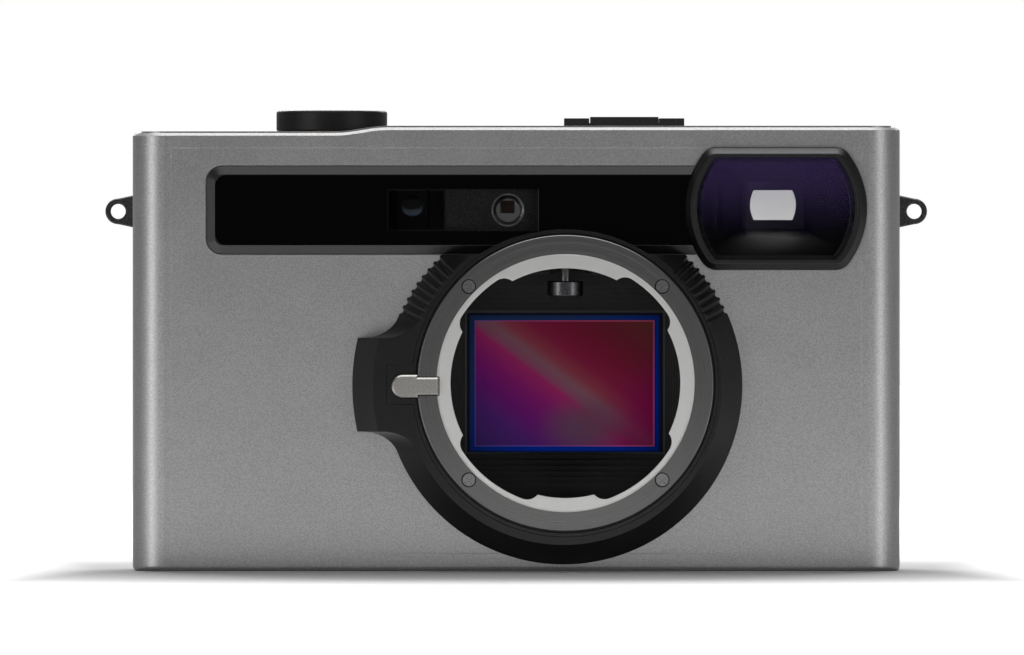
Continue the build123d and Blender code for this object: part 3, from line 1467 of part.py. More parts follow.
# Accessory shoe with its spring, contacts and screws
with BuildPart() as hot_shoe:
    with BuildSketch(front(-shoe_length / 2, shoe_x, 0)):
        with Locations((0, (shoe_seat + shoe_top) / 2)):
            Rectangle(shoe_width, shoe_top - shoe_seat)
        with Locations((0, (shoe_floor + shoe_channel_top) / 2)):
            Rectangle(shoe_channel, shoe_gap, mode=Mode.SUBTRACT)
        with Locations((0, (shoe_floor + shoe_top) / 2)):
            Rectangle(shoe_slot, shoe_top - shoe_floor, mode=Mode.SUBTRACT)
    extrude(amount=shoe_length)
    with BuildSketch(front(shoe_length / 2 - shoe_stop, shoe_x, (shoe_floor + shoe_channel_top) / 2)):
        Rectangle(shoe_channel, shoe_gap)
    extrude(amount=shoe_stop)
    with Locations(Plane.XY.offset(shoe_floor)):
        with Locations((shoe_x, 1.5)):
            with GridLocations(*shoe_screw_grid, 2, 2):
                CounterSinkHole(small_core, small_head, shoe_base)
    with BuildSketch(Plane.XY.offset(shoe_floor - 0.5)):
        with Locations((shoe_x, 0.5)):
            Circle(contact_radius + slip)
        with Locations((shoe_x - 3.0, -4.2), (shoe_x + 3.0, -4.2)):
            Circle(contact_small_radius + slip)
    extrude(amount=0.5, mode=Mode.SUBTRACT)
keep(hot_shoe, "hot_shoe")

with BuildPart() as shoe_spring:
    spring_top = shoe_channel_top - slip
    with BuildSketch(Plane.XY.offset(spring_top - shoe_spring_thickness)):
        for side in (-1, 1):
            with Locations((shoe_x + side * (shoe_slot + shoe_channel - 1.0) / 4, 0.0)):
                Rectangle((shoe_channel - shoe_slot) / 2 - 0.6, shoe_length - 2 * shoe_stop - 1.0)
    extrude(amount=shoe_spring_thickness)
    with BuildSketch(Plane.XY.offset(shoe_channel_top)):
        with Locations((shoe_x, -shoe_length / 2 + shoe_stop / 2)):
            Rectangle(shoe_slot - 0.3, shoe_stop)
    extrude(amount=shoe_lip + shoe_spring_rise)
    with BuildSketch(Plane.XY.offset(spring_top - shoe_spring_thickness)):
        with Locations((shoe_x, -shoe_length / 2 + shoe_stop + 0.45)):
            Rectangle(shoe_channel - 1.4, 0.8)
    extrude(amount=shoe_spring_thickness)
    with BuildSketch(Plane.XY.offset(spring_top - shoe_spring_thickness)):
        with Locations((shoe_x, -shoe_length / 2 + shoe_stop + 0.25)):
            Rectangle(shoe_slot - 0.3, 0.5)
    extrude(amount=shoe_top + shoe_spring_rise - spring_top + shoe_spring_thickness)
keep(shoe_spring, "shoe_spring")

with BuildPart() as shoe_contacts:
    with BuildSketch(Plane.XY.offset(shoe_floor - 0.5)):
        with Locations((shoe_x, 0.5)):
            Circle(contact_radius)
        with Locations((shoe_x - 3.0, -4.2), (shoe_x + 3.0, -4.2)):
            Circle(contact_small_radius)
    extrude(amount=0.6)
keep(shoe_contacts, "shoe_contacts")

with BuildPart() as shoe_screws:
    with Locations(Plane.XY.offset(shoe_floor)):
        with Locations((shoe_x, 1.5)):
            with GridLocations(*shoe_screw_grid, 2, 2):
                add(screw(small_head, small_core, shoe_base))
keep(shoe_screws, "shoe_screws")

# Battery bay, battery, contacts, door, latch and hinge pin
bay_top = base_wall + battery_height + 2.2
with BuildPart() as battery_bay:
    with BuildSketch(Plane.XY.offset(base_wall)):
        with Locations((bay_x, bay_y)):
            Rectangle(bay_width + 2 * bay_wall, bay_depth + 2 * bay_wall)
    extrude(amount=bay_top + bay_wall - base_wall)
    with BuildSketch(Plane.XY.offset(base_wall)):
        with Locations((bay_x, bay_y)):
            Rectangle(bay_width, bay_depth)
    extrude(amount=bay_top - base_wall, mode=Mode.SUBTRACT)
keep(battery_bay, "battery_bay")

battery_low = door_lift + door_thickness + 0.45
with BuildPart() as battery:
    with Locations((bay_x, bay_y, battery_low)):
        Box(battery_width, battery_depth, battery_height, align=(Align.CENTER, Align.CENTER, Align.MIN))
    fillet(battery.edges().filter_by(Axis.Z), 1.5)
keep(battery, "battery")

with BuildPart() as battery_contacts:
    with BuildSketch(Plane.XY.offset(battery_low + battery_height)):
        with Locations((bay_x, bay_y)):
            with GridLocations(4.0, 1.0, 3, 1):
                Rectangle(1.2, 4.0)
    extrude(amount=bay_top - battery_low - battery_height)
keep(battery_contacts, "battery_contacts")

wing_low = door_lift + 0.45
wing_high = wing_low + 0.65
with BuildPart() as battery_door:
    with BuildSketch(Plane.XY.offset(door_lift)):
        with Locations(((hinge_x + door_end) / 2, bay_y)):
            Rectangle(door_end - hinge_x, 2 * door_half_depth)
    extrude(amount=door_thickness)
    with BuildSketch(front(-bay_y - door_half_depth)):
        with Locations((hinge_x, hinge_z)):
            Circle(knuckle_radius)
    extrude(amount=2 * door_half_depth)
    with BuildSketch(front(-bay_y - door_half_depth)):
        with Locations((hinge_x, hinge_z)):
            Circle(door_pin_radius + running)
    extrude(amount=2 * door_half_depth, mode=Mode.SUBTRACT)
    with BuildSketch(Plane.XY.offset(door_lift)):
        with Locations((door_end - (latch_length + latch_travel - latch_reach + gap) / 2, bay_y)):
            Rectangle(latch_length + latch_travel - latch_reach + gap, latch_width + 2 * gap)
    extrude(amount=wing_high + running - door_lift, mode=Mode.SUBTRACT)
    with BuildSketch(Plane.XY.offset(wing_low - running)):
        with Locations((door_end - (latch_length + latch_travel - latch_reach + gap) / 2, bay_y)):
            Rectangle(
                latch_length + latch_travel - latch_reach + gap,
                latch_width + 2 * latch_wing + 2 * gap,
            )
    extrude(amount=wing_high - wing_low + 2 * running, mode=Mode.SUBTRACT)
keep(battery_door, "battery_door")

with BuildPart() as door_latch:
    latch_x = door_end + latch_reach - latch_travel - latch_length / 2
    with BuildSketch(Plane.XY.offset(wing_low)):
        with Locations((latch_x, bay_y)):
            Rectangle(latch_length, latch_width + 2 * latch_wing)
    extrude(amount=wing_high - wing_low)
    with BuildSketch(Plane.XY.offset(door_lift)):
        with Locations((latch_x - latch_reach / 2, bay_y)):
            Rectangle(latch_length - latch_reach, latch_width)
    extrude(amount=wing_low - door_lift)
    with BuildSketch(Plane.XY.offset(door_lift)):
        with Locations((latch_x - latch_reach / 2, bay_y)):
            with GridLocations(1.4, 1.0, 4, 1):
                Rectangle(0.6, latch_width - 1.5)
    extrude(amount=0.35, mode=Mode.SUBTRACT)
keep(door_latch, "door_latch")

with BuildPart() as door_pin:
    with BuildSketch(front(-bay_y - door_half_depth - 1.2)):
        with Locations((hinge_x, hinge_z)):
            Circle(door_pin_radius)
    extrude(amount=2 * (door_half_depth + 1.2))
keep(door_pin, "door_pin")

# Rear buttons and the board with their switches
for name, height in rear_button_heights.items():
    with BuildPart() as rear_button:
        with BuildSketch(front(cover_inner + slip, rear_button_x, height)):
            Circle(rear_button_flange)
        extrude(amount=rear_flange_thickness)
        with BuildSketch(front(back_face - rear_button_proud, rear_button_x, height)):
            Circle(rear_button_radius)
        extrude(amount=cover_inner + slip - back_face + rear_button_proud)
        fillet(rear_button.faces().sort_by(Axis.Y)[-1].edges(), 0.3)
    keep(rear_button, name)

with BuildPart() as button_board:
    board_middle = (button_rows[0] + button_rows[-1]) / 2
    with BuildSketch(front(board_front_face, rear_button_x, board_middle)):
        RectangleRounded(
            button_board_width, button_rows[-1] - button_rows[0] + 2 * button_board_margin, 1.5
        )
    extrude(amount=button_board_thickness)
    for height in rear_button_heights.values():
        with BuildSketch(front(switch_face, rear_button_x, height)):
            Rectangle(rear_switch_size, rear_switch_size)
        extrude(amount=rear_switch_thickness)
keep(button_board, "button_board")

# Tripod bush and charging socket
with BuildPart() as tripod_socket:
    with BuildSketch():
        with Locations((lens_x, 0)):
            Circle(tripod_bush_radius)
    extrude(amount=tripod_depth + 1.0)
    with BuildSketch(Plane.XY.offset(base_wall)):
        with Locations((lens_x, 0)):
            Circle(tripod_bush_radius + 2.0)
    extrude(amount=1.2)
    with BuildSketch():
        with Locations((lens_x, 0)):
            Circle(tripod_radius)
    extrude(amount=tripod_depth, mode=Mode.SUBTRACT)
keep(tripod_socket, "tripod_socket")

usb_mouth = body_width / 2 - usb_recess
with BuildPart() as usb_socket:
    with BuildSketch(Plane.YZ.offset(usb_mouth - usb_length)):
        with Locations((usb_y, usb_z)):
            RectangleRounded(usb_width, usb_height, usb_height / 2 - 0.01)
    extrude(amount=usb_length)
    with BuildSketch(Plane.YZ.offset(usb_mouth - usb_length + 0.6)):
        with Locations((usb_y, usb_z)):
            RectangleRounded(
                usb_width - 2 * usb_wall, usb_height - 2 * usb_wall, usb_height / 2 - usb_wall - 0.01
            )
    extrude(amount=usb_length, mode=Mode.SUBTRACT)
    with BuildSketch(Plane.YZ.offset(usb_mouth - usb_length)):
        with Locations((usb_y, usb_z)):
            Rectangle(usb_width - 2.2, 0.7)
    extrude(amount=usb_length - 0.8)
keep(usb_socket, "usb_socket")
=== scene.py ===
from math import pi

import bmesh
import bpy
from mathutils import Matrix, Vector


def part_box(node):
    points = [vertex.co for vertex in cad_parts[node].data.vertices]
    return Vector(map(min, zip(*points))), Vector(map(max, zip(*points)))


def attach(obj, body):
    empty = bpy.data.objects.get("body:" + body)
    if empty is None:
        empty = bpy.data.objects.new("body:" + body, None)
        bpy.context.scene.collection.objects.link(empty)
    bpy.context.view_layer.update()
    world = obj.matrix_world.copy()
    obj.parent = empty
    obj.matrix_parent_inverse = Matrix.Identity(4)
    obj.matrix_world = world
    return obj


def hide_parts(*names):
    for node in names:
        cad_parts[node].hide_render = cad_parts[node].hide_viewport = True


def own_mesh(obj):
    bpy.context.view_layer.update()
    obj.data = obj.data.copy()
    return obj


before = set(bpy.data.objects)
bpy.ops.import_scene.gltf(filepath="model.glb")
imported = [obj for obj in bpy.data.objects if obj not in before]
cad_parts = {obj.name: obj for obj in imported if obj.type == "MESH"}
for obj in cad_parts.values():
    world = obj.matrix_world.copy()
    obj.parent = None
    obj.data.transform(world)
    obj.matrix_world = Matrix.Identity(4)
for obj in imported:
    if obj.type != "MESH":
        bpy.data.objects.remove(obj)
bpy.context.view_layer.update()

# Casing: one milled aluminium block, open at the back, blasted with fine beads and anodised silver.
# A thin plate of the same metal is let into its top. The blasting leaves a grain of about a tenth of
# a millimetre that blurs what the metal reflects.


class Socket:
    """A value on its way through a finish. Arithmetic on it adds Math nodes."""

    def __init__(self, tree, link=None):
        self.tree = tree
        self.link = link

    def node(self, kind, settings=None, values=None, out=0):
        """Adds any other node: its settings first, then the values or links of its sockets."""
        made = self.tree.nodes.new(kind)
        for name, setting in (settings or {}).items():
            if name == "stops":
                ramp = made.color_ramp.elements
                while len(ramp) < len(setting):
                    ramp.new(1.0)
                for stop, (place, colour) in zip(ramp, setting):
                    stop.position = place
                    stop.color = colour
            else:
                setattr(made, name, setting)
        for name, value in (values or {}).items():
            if isinstance(value, Socket):
                self.tree.links.new(value.link, made.inputs[name])
            else:
                made.inputs[name].default_value = value
        return Socket(self.tree, made.outputs[out])

    def math(self, operation, *values):
        return self.node("ShaderNodeMath", {"operation": operation}, dict(enumerate(values)))

    def __add__(self, other):
        return self.math("ADD", self, other)

    def __radd__(self, other):
        return self.math("ADD", other, self)

    def __sub__(self, other):
        return self.math("SUBTRACT", self, other)

    def __rsub__(self, other):
        return self.math("SUBTRACT", other, self)

    def __mul__(self, other):
        return self.math("MULTIPLY", self, other)

    def __rmul__(self, other):
        return self.math("MULTIPLY", other, self)

    def __truediv__(self, other):
        return self.math("DIVIDE", self, other)

    def __rtruediv__(self, other):
        return self.math("DIVIDE", other, self)

    def __pow__(self, other):
        return self.math("POWER", self, other)

    def __abs__(self):
        return self.math("ABSOLUTE", self)


def rgb(red, green, blue):
    """Colour as it is seen, in steps of 255, turned into the shader's linear values."""
    steps = (red, green, blue)
    linear = [(c / 255 / 12.92 if c <= 10 else ((c / 255 + 0.055) / 1.055) ** 2.4) for c in steps]
    return (*linear, 1.0)


def new_finish(name, **constants):
    """A material with a plain shader, its constants set on the shader's own sockets."""
    finish = bpy.data.materials.new(name)
    finish.use_nodes = True
    shader = finish.node_tree.nodes["Principled BSDF"]
    for socket, value in constants.items():
        shader.inputs[socket.replace("_", " ")].default_value = value
    return finish, Socket(finish.node_tree)


def feed(finish, **links):
    """Joins what varies over the surface to the shader."""
    shader = finish.node_tree.nodes["Principled BSDF"]
    for socket, value in links.items():
        finish.node_tree.links.new(value.link, shader.inputs[socket.replace("_", " ")])


def mix(mask, low, high):
    """Colour that goes from low to high with the mask."""
    return mask.node("ShaderNodeMix", {"data_type": "RGBA"}, {0: mask, 6: low, 7: high}, out=2)


def fade(value, low, high):
    """Smooth step from 0 at low to 1 at high."""
    limits = {"Value": value, "From Min": low, "From Max": high}
    return value.node("ShaderNodeMapRange", {"interpolation_type": "SMOOTHSTEP"}, limits)


def noise(start, place, size, detail=2.0):
    """Cloudy values about 0.5, with patches of that size in metres."""
    values = {"Vector": place, "Scale": 1.0 / size, "Detail": detail}
    return start.node("ShaderNodeTexNoise", {}, values)


def bump(height, depth, edge=0.0001):
    """Normals of a relief of that depth in metres, on edges broken by that radius."""
    broken = height.node("ShaderNodeBevel", {"samples": 6}, {"Radius": edge})
    return height.node("ShaderNodeBump", {}, {"Height": height, "Distance": depth, "Normal": broken})


def blasted(name, dark, light, roughness, grain=0.00016, depth=0.00001, edge=0.0001, **constants):
    """Finish with a fine grain: blasted metal, anodised metal, moulded plastic."""
    finish, start = new_finish(name, **constants)
    place = start.node("ShaderNodeTexCoord", out=3)
    fine = noise(start, place, grain)
    broad = noise(start, place, 30 * grain, 3.0)
    feed(
        finish,
        Base_Color=mix(fade(fine * 0.94 + broad * 0.06, 0.35, 0.65), dark, light),
        Roughness=broad * 0.06 + (roughness - 0.03),
        Normal=bump(fine, depth, edge),
    )
    return finish


def dress(finish, *nodes):
    """Gives CAD nodes their finish."""
    for node in nodes:
        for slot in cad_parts[node].material_slots:
            slot.material = finish


silver = blasted("blasted silver", rgb(160, 159, 159), rgb(180, 179, 179), 0.46, 0.00024, Metallic=1.0)
dress(silver, "body_shell", "front_panel", "top_plate")

# Tripod bush: a turned steel bush pressed into the base below the lens. The strap lugs are darker steel
# plates whose tongues are pinned into the sides.
steel = blasted("plain steel", rgb(150, 150, 152), rgb(170, 170, 171), 0.3, 0.0004, 0.000004, Metallic=1.0)
dress(steel, "tripod_socket")
dark_steel = blasted("dark steel", rgb(70, 70, 72), rgb(92, 92, 94), 0.34, 0.0003, 0.000004, Metallic=1.0)
dress(dark_steel, "strap_lugs")

# Chamber and sensor: a moulded black box between mount and sensor, its mouth cut in fine steps that
# catch stray light. The sensor is a ceramic package with a coated filter glass laid into its rim.
# Over the coating's own tint lies a painted reflection that shifts from indigo at its edge to rose and
# crimson, with a magenta lower right and a grey-pink patch.
chamber_black = blasted(
    "chamber black", rgb(26, 26, 27), rgb(36, 36, 37), 0.6, 0.0002, 0.00001, Specular_IOR_Level=0.35
)
dress(chamber_black, "light_baffle")
package_grey = blasted("package grey", rgb(58, 60, 66), rgb(70, 72, 78), 0.5, 0.0002, 0.000005)
dress(package_grey, "sensor_chip")

sensor_low, sensor_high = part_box("sensor_cover_glass")
area_shift = Vector((-0.00009, 0.0, -0.00019))
sensor_middle = (sensor_low + sensor_high) / 2 + area_shift
sensor_size = sensor_high - sensor_low
filter_border_x = 0.00148
filter_border_z = 0.00117

sensor_filter, start = new_finish("sensor filter", Metallic=1.0)
place = start.node("ShaderNodeTexCoord", out=3)
across = start.node("ShaderNodeSeparateXYZ", {}, {0: place}, out=0)
up = start.node("ShaderNodeSeparateXYZ", {}, {0: place}, out=2)
side = (across - sensor_middle.x) / (sensor_size.x / 2 - filter_border_x)
rise = (up - sensor_middle.z) / (sensor_size.z / 2 - filter_border_z)
slant = (rise + side * 1.07 + 0.04) / 4 + 0.5
# Painted reflection: the colour runs across the filter along a diagonal.
coating_and_reflection_stops = [
    (0.0, (48, 32, 84)), (0.17, (62, 28, 90)), (0.27, (84, 20, 90)), (0.37, (104, 22, 86)),
    (0.46, (126, 32, 80)), (0.49, (106, 60, 80)), (0.53, (104, 68, 80)), (0.58, (112, 46, 58)),
    (0.65, (106, 26, 52)),
    (0.75, (96, 22, 44)), (0.87, (84, 26, 38)), (1.0, (78, 38, 36)),
]
# Painted reflection: this gain raises the colours above the coating's own.
reflection_gain = 1.85
stops = [(spot, (*[reflection_gain * c for c in rgb(*colour)[:3]], 1.0)) for spot, colour in coating_and_reflection_stops]
coating_and_reflection = slant.node("ShaderNodeValToRGB", {"stops": stops}, {0: slant})
# Painted reflection: magenta towards the lower right, and a grey-pink patch below and right of the middle.
lower_right_reflection = fade(side - rise, 0.3, 1.6) * fade(slant, 0.36, 0.5)
coating_and_reflection = mix(lower_right_reflection * 0.8, coating_and_reflection, rgb(132, 14, 84))
reflected_patch = fade(((side - 0.2) * (side - 0.2) + (rise + 0.7) * (rise + 0.7)) ** 0.5, 0.6, 0.1)
coating_and_reflection = mix(reflected_patch * 0.7, coating_and_reflection, rgb(92, 80, 92))
edge_x = abs(side)
edge_z = abs(rise)
border = start.math("MAXIMUM", fade(edge_x, 1.0, 1.005), fade(edge_z, 1.0, 1.005))
line = start.math("MAXIMUM", fade(edge_x, 0.985, 0.99), fade(edge_z, 0.98, 0.985))
line_colour = mix(fade(side + rise * 0.4, -1.0, 1.0), rgb(96, 84, 180), rgb(230, 90, 130))
# Painted highlight: the blue border is brighter towards the lower right.
border_colour = mix(fade(rise - side, -1.0, 1.4), rgb(0, 44, 150), rgb(34, 56, 100))
rim = start.math("MAXIMUM", fade(edge_x, 1.04, 1.066), fade(edge_z, 1.06, 1.097))
border_colour = mix(rim, border_colour, rgb(30, 32, 44))
haze = noise(start, place, 0.006)
feed(
    sensor_filter,
    Base_Color=mix(border, mix(line * 0.6, coating_and_reflection, line_colour), border_colour),
    Roughness=haze * 0.06 + 0.3,
)
dress(sensor_filter, "sensor_cover_glass")

# Boards behind the sensor: green laminate with the processor, a steel bracket and its screws.
board_green = blasted(
    "board green", rgb(20, 62, 40), rgb(28, 78, 50), 0.35, 0.0005, 0.00001, Specular_IOR_Level=0.5
)
dress(board_green, "sensor_board", "main_board", "button_board")
dress(steel, "sensor_bracket", "sensor_screws")

# Rangefinder: a blackened shelf carries the mirror and the pivot of the steel arm, whose roller
# rides on the lens's cam. The arm's hub also carries the small moving lens behind the window.
soft_black = blasted("soft black", rgb(22, 22, 23), rgb(30, 30, 31), 0.55, 0.0002, 0.00001)
dress(soft_black, "rangefinder_chassis", "shutter_switch")
tunnel_black = blasted(
    "tunnel black", rgb(9, 9, 10), rgb(13, 13, 14), 0.8, 0.0002, 0.00001, Specular_IOR_Level=0.1
)
dress(tunnel_black, "viewfinder_tunnel")
mask_low, mask_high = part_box("rf_window_mask")
mask_rim = 0.0003
mask_black, start = new_finish("mask black", Roughness=0.7, Specular_IOR_Level=0.15)
place = start.node("ShaderNodeTexCoord", out=3)
depth = start.node("ShaderNodeSeparateXYZ", {}, {0: place}, out=1)
facing = fade(depth, mask_low.y + mask_rim, mask_low.y)
cloth = noise(start, place, 0.0002)
mask_dark = mix(cloth, rgb(5, 5, 5), rgb(8, 8, 8))
feed(mask_black, Base_Color=mix(facing, mask_dark, rgb(64, 64, 65)))
dress(mask_black, "rf_window_mask")
bright = blasted(
    "turned aluminium", rgb(202, 202, 203), rgb(216, 216, 216), 0.28, 0.0003, 0.000004, Metallic=1.0
)
dress(dark_steel, "rf_roller")
dress(steel, "rf_arm_spring", "release_leaf_spring", "bayonet_spring")

arm_finish, start = new_finish("arm steel, black above the shelf", Metallic=0.6)
place = start.node("ShaderNodeTexCoord", out=3)
up = start.node("ShaderNodeSeparateXYZ", {}, {0: place}, out=2)
paint_drop = 0.001
paint_edge = 0.0002
painted = fade(up, mask_low.z - paint_drop - paint_edge, mask_low.z - paint_drop)
grain = noise(start, place, 0.0003)
bare_steel = mix(grain, rgb(96, 96, 98), rgb(120, 120, 122))
feed(
    arm_finish,
    Base_Color=mix(painted, bare_steel, rgb(5, 5, 5)),
    Roughness=painted * 0.4 + grain * 0.05 + 0.32,
)
dress(arm_finish, "rf_arm")

mirror_coat = blasted("mirror coat", rgb(222, 222, 224), rgb(230, 230, 232), 0.06, Metallic=1.0)
dress(mirror_coat, "rf_mirror")

lens_low, lens_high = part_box("rf_lens")
lens_middle = (lens_low + lens_high) / 2
lens_radius = (lens_high.x - lens_low.x) / 2
rf_glass, start = new_finish("rangefinder lens", Roughness=0.05, Specular_IOR_Level=0.6)
place = start.node("ShaderNodeTexCoord", out=3)
across = start.node("ShaderNodeSeparateXYZ", {}, {0: place}, out=0) - lens_middle.x
up = start.node("ShaderNodeSeparateXYZ", {}, {0: place}, out=2) - (lens_middle.z + 0.6 * lens_radius)
away = (across * across + up * up) ** 0.5 / (2.0 * lens_radius)
# Painted reflection: a blue and violet crescent along the lower rim of the otherwise dark glass.
reflected_crescent_stops = [
    (0.0, (4, 4, 6)), (0.46, (5, 6, 9)), (0.58, (14, 60, 84)), (0.68, (24, 84, 120)), (0.8, (50, 30, 90)),
]
stops = [(spot, rgb(*colour)) for spot, colour in reflected_crescent_stops]
feed(rf_glass, Base_Color=away.node("ShaderNodeValToRGB", {"stops": stops}, {0: away}))
dress(rf_glass, "rf_lens")

# Meter: a textured black block beside the rangefinder window, with a small silvered dish and the
# light cell in it.
meter_black, start = new_finish("meter black", Roughness=0.6, Specular_IOR_Level=0.4)
place = start.node("ShaderNodeTexCoord", out=3)
specks = noise(start, place, 0.00035, 4.0)
meter_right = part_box("meter_housing")[1].x
across = start.node("ShaderNodeSeparateXYZ", {}, {0: place}, out=0)
edge_width = 0.0002
meter_edge = fade(across, meter_right - 1.25 * edge_width, meter_right - edge_width)
meter_specks = mix(fade(specks, 0.35, 0.7), rgb(44, 44, 45), rgb(82, 82, 83))
feed(
    meter_black,
    Base_Color=mix(meter_edge, meter_specks, rgb(150, 150, 151)),
    Normal=bump(specks, 0.00006),
)
dress(meter_black, "meter_housing")
dress(bright, "meter_reflector")
cell_dark = blasted("cell dark", rgb(58, 36, 32), rgb(70, 44, 38), 0.2, 0.0004, 0.000002)
dress(cell_dark, "meter_cell")

# Viewfinder: a glass block sits in a round-ended black frame. Behind it a tapering tunnel leads
# past the half-silvered splitter to the eyepiece, which shows as a bright opening.
finder_low, finder_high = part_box("viewfinder_front_lens")
finder_middle = (finder_low + finder_high) / 2
finder_half = (finder_high - finder_low) / 2
anodised = blasted("black anodising", rgb(60, 60, 61), rgb(70, 70, 71), 0.33, 0.00014, 0.000006, Metallic=1.0)
dress(anodised, "viewfinder_frame", "window_frame")

finder_glass, start = new_finish("viewfinder glass", Roughness=0.03, Specular_IOR_Level=0.12)
place = start.node("ShaderNodeTexCoord", out=3)
up = (start.node("ShaderNodeSeparateXYZ", {}, {0: place}, out=2) - finder_middle.z) / finder_half.z
# Painted reflection: purple glare across the upper part of the glass, fading to near black below.
feed(
    finder_glass,
    Base_Color=mix(fade(up, -0.7, 0.8), rgb(4, 4, 5), rgb(94, 74, 138)),
    Alpha=fade(up, -1.6, 1.4) * 0.25 + 0.1,
)
dress(finder_glass, "viewfinder_front_lens")

thin_glass, start = new_finish("thin coated glass", Roughness=0.02, Specular_IOR_Level=0.5)
place = start.node("ShaderNodeTexCoord", out=3)
clouds = noise(start, place, 0.004)
feed(
    thin_glass,
    Base_Color=mix(clouds, rgb(210, 214, 220), rgb(190, 200, 214)),
    Alpha=clouds * 0.04 + 0.05,
)
dress(thin_glass, "beam_splitter", "eyepiece_lens")

# Long window: one glass, blacked from behind except over the rangefinder window and the meter.
module_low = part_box("rf_window_mask")[0]
module_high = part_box("meter_housing")[1]
window_glass, start = new_finish("window glass", Roughness=0.03, Specular_IOR_Level=0.08)
place = start.node("ShaderNodeTexCoord", out=3)
across = start.node("ShaderNodeSeparateXYZ", {}, {0: place}, out=0)
up = start.node("ShaderNodeSeparateXYZ", {}, {0: place}, out=2)
module_middle = (module_low + module_high) / 2
module_half = (module_high - module_low) / 2
beside = fade(abs(across - module_middle.x), module_half.x - 0.0001, module_half.x)
over = fade(abs(up - module_middle.z), module_half.z - 0.0001, module_half.z)
blacked = start.math("MAXIMUM", beside, over)
feed(
    window_glass,
    Base_Color=mix(noise(start, place, 0.02), rgb(2, 2, 5), rgb(4, 4, 7)),
    Alpha=blacked * 0.75 + 0.25,
)
dress(window_glass, "window_glass")

# Mount: a black anodised surround with finger flutes and the housing of the release, a black ring,
# and the turned steel flange with its four lugs, held by four cross-head screws.
surround_black = blasted(
    "surround black", rgb(50, 50, 51), rgb(62, 62, 63), 0.33, 0.00014, 0.000008, Metallic=1.0
)
dress(surround_black, "mount_surround", "mount_ring")

flange_low, flange_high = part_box("bayonet_flange")
flange_middle = (flange_low + flange_high) / 2
turned_step = 0.00012
flange_inner_rim = 0.02311

flange_steel, start = new_finish("turned flange", Metallic=1.0)
place = start.node("ShaderNodeTexCoord", out=3)
across = start.node("ShaderNodeSeparateXYZ", {}, {0: place}, out=0) - flange_middle.x
up = start.node("ShaderNodeSeparateXYZ", {}, {0: place}, out=2) - flange_middle.z
radius = (across * across + up * up) ** 0.5
turning = {"W": radius, "Scale": 1 / turned_step, "Detail": 2.0}
rings = start.node("ShaderNodeTexNoise", {"noise_dimensions": "1D"}, turning)
outer = fade(radius, flange_inner_rim - 0.00003, flange_inner_rim + 0.00003)
outer_steel = mix(rings, rgb(104, 104, 104), rgb(130, 130, 129))
inner_steel = mix(rings, rgb(206, 206, 204), rgb(224, 224, 222))
feed(
    flange_steel,
    Base_Color=mix(outer, inner_steel, outer_steel),
    Roughness=rings * 0.1 + 0.42 - outer * 0.18,
    Normal=bump(rings, 0.00002),
)
dress(flange_steel, "bayonet_flange")
button_steel = blasted(
    "button steel", rgb(178, 175, 171), rgb(196, 193, 189), 0.32, 0.0003, 0.000004, Metallic=1.0
)
dress(button_steel, "lens_release_button")
screw_steel = blasted(
    "screw steel", rgb(120, 120, 122), rgb(150, 150, 152), 0.25, 0.0002, 0.000006, Metallic=1.0
)
dress(screw_steel, "rear_cover_screws", "shoe_screws")

# The flange's four screws stand on its diagonals, each in a dark ring where its head meets the flange.
screws_low, screws_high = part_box("flange_screws")
screw_head = 0.00135
screw_place = (screws_high.x - screws_low.x) / 2 - screw_head
ringed_steel, start = new_finish("ringed screw steel", Metallic=1.0)
place = start.node("ShaderNodeTexCoord", out=3)
across = abs(start.node("ShaderNodeSeparateXYZ", {}, {0: place}, out=0) - flange_middle.x) - screw_place
up = abs(start.node("ShaderNodeSeparateXYZ", {}, {0: place}, out=2) - flange_middle.z) - screw_place
away = (across * across + up * up) ** 0.5
grain = noise(start, place, 0.0002)
head_steel = mix(grain, rgb(136, 136, 138), rgb(166, 166, 168))
feed(
    ringed_steel,
    Base_Color=mix(fade(away, screw_head - 0.0003, screw_head - 0.00015), head_steel, rgb(36, 36, 37)),
    Roughness=grain * 0.1 + 0.22,
)
dress(ringed_steel, "flange_screws")

# Battery: a moulded pack in its bay behind a door in the base, which turns on a steel pin and has a
# sliding latch.
moulded = blasted("moulded case", rgb(38, 38, 40), rgb(46, 46, 48), 0.5, 0.0003, 0.00002)
dress(moulded, "battery", "battery_bay")
gold = blasted("gold plate", rgb(212, 172, 92), rgb(226, 188, 108), 0.25, 0.0003, 0.000003, Metallic=1.0)
dress(gold, "battery_contacts", "shoe_contacts")
dress(silver, "battery_door")
dress(steel, "door_pin", "door_latch")

# Top: the speed dial turns on a brass bearing, and the shutter release stands in its middle.
brass = blasted("brass", rgb(190, 154, 84), rgb(206, 170, 98), 0.3, 0.0003, 0.000003, Metallic=1.0)
dress(brass, "dial_bearing")
dial_black = blasted("dial black", rgb(34, 34, 35), rgb(42, 42, 43), 0.5, 0.00014, 0.00001, Metallic=0.6)
dress(dial_black, "speed_dial", "shutter_button")
dress(steel, "shutter_spring")

# The release presses on the spring's upper end. The spring is copied into a mesh of its own that rides on the
# camera body, in place of its CAD node.
spring_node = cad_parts["shutter_spring"]
coil_mesh = spring_node.data.copy()
coil_mesh.transform(spring_node.matrix_world)
coil = bpy.data.objects.new("shutter_coil", coil_mesh)
bpy.context.collection.objects.link(coil)
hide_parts("shutter_spring")
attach(coil, "camera_body")
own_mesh(coil)


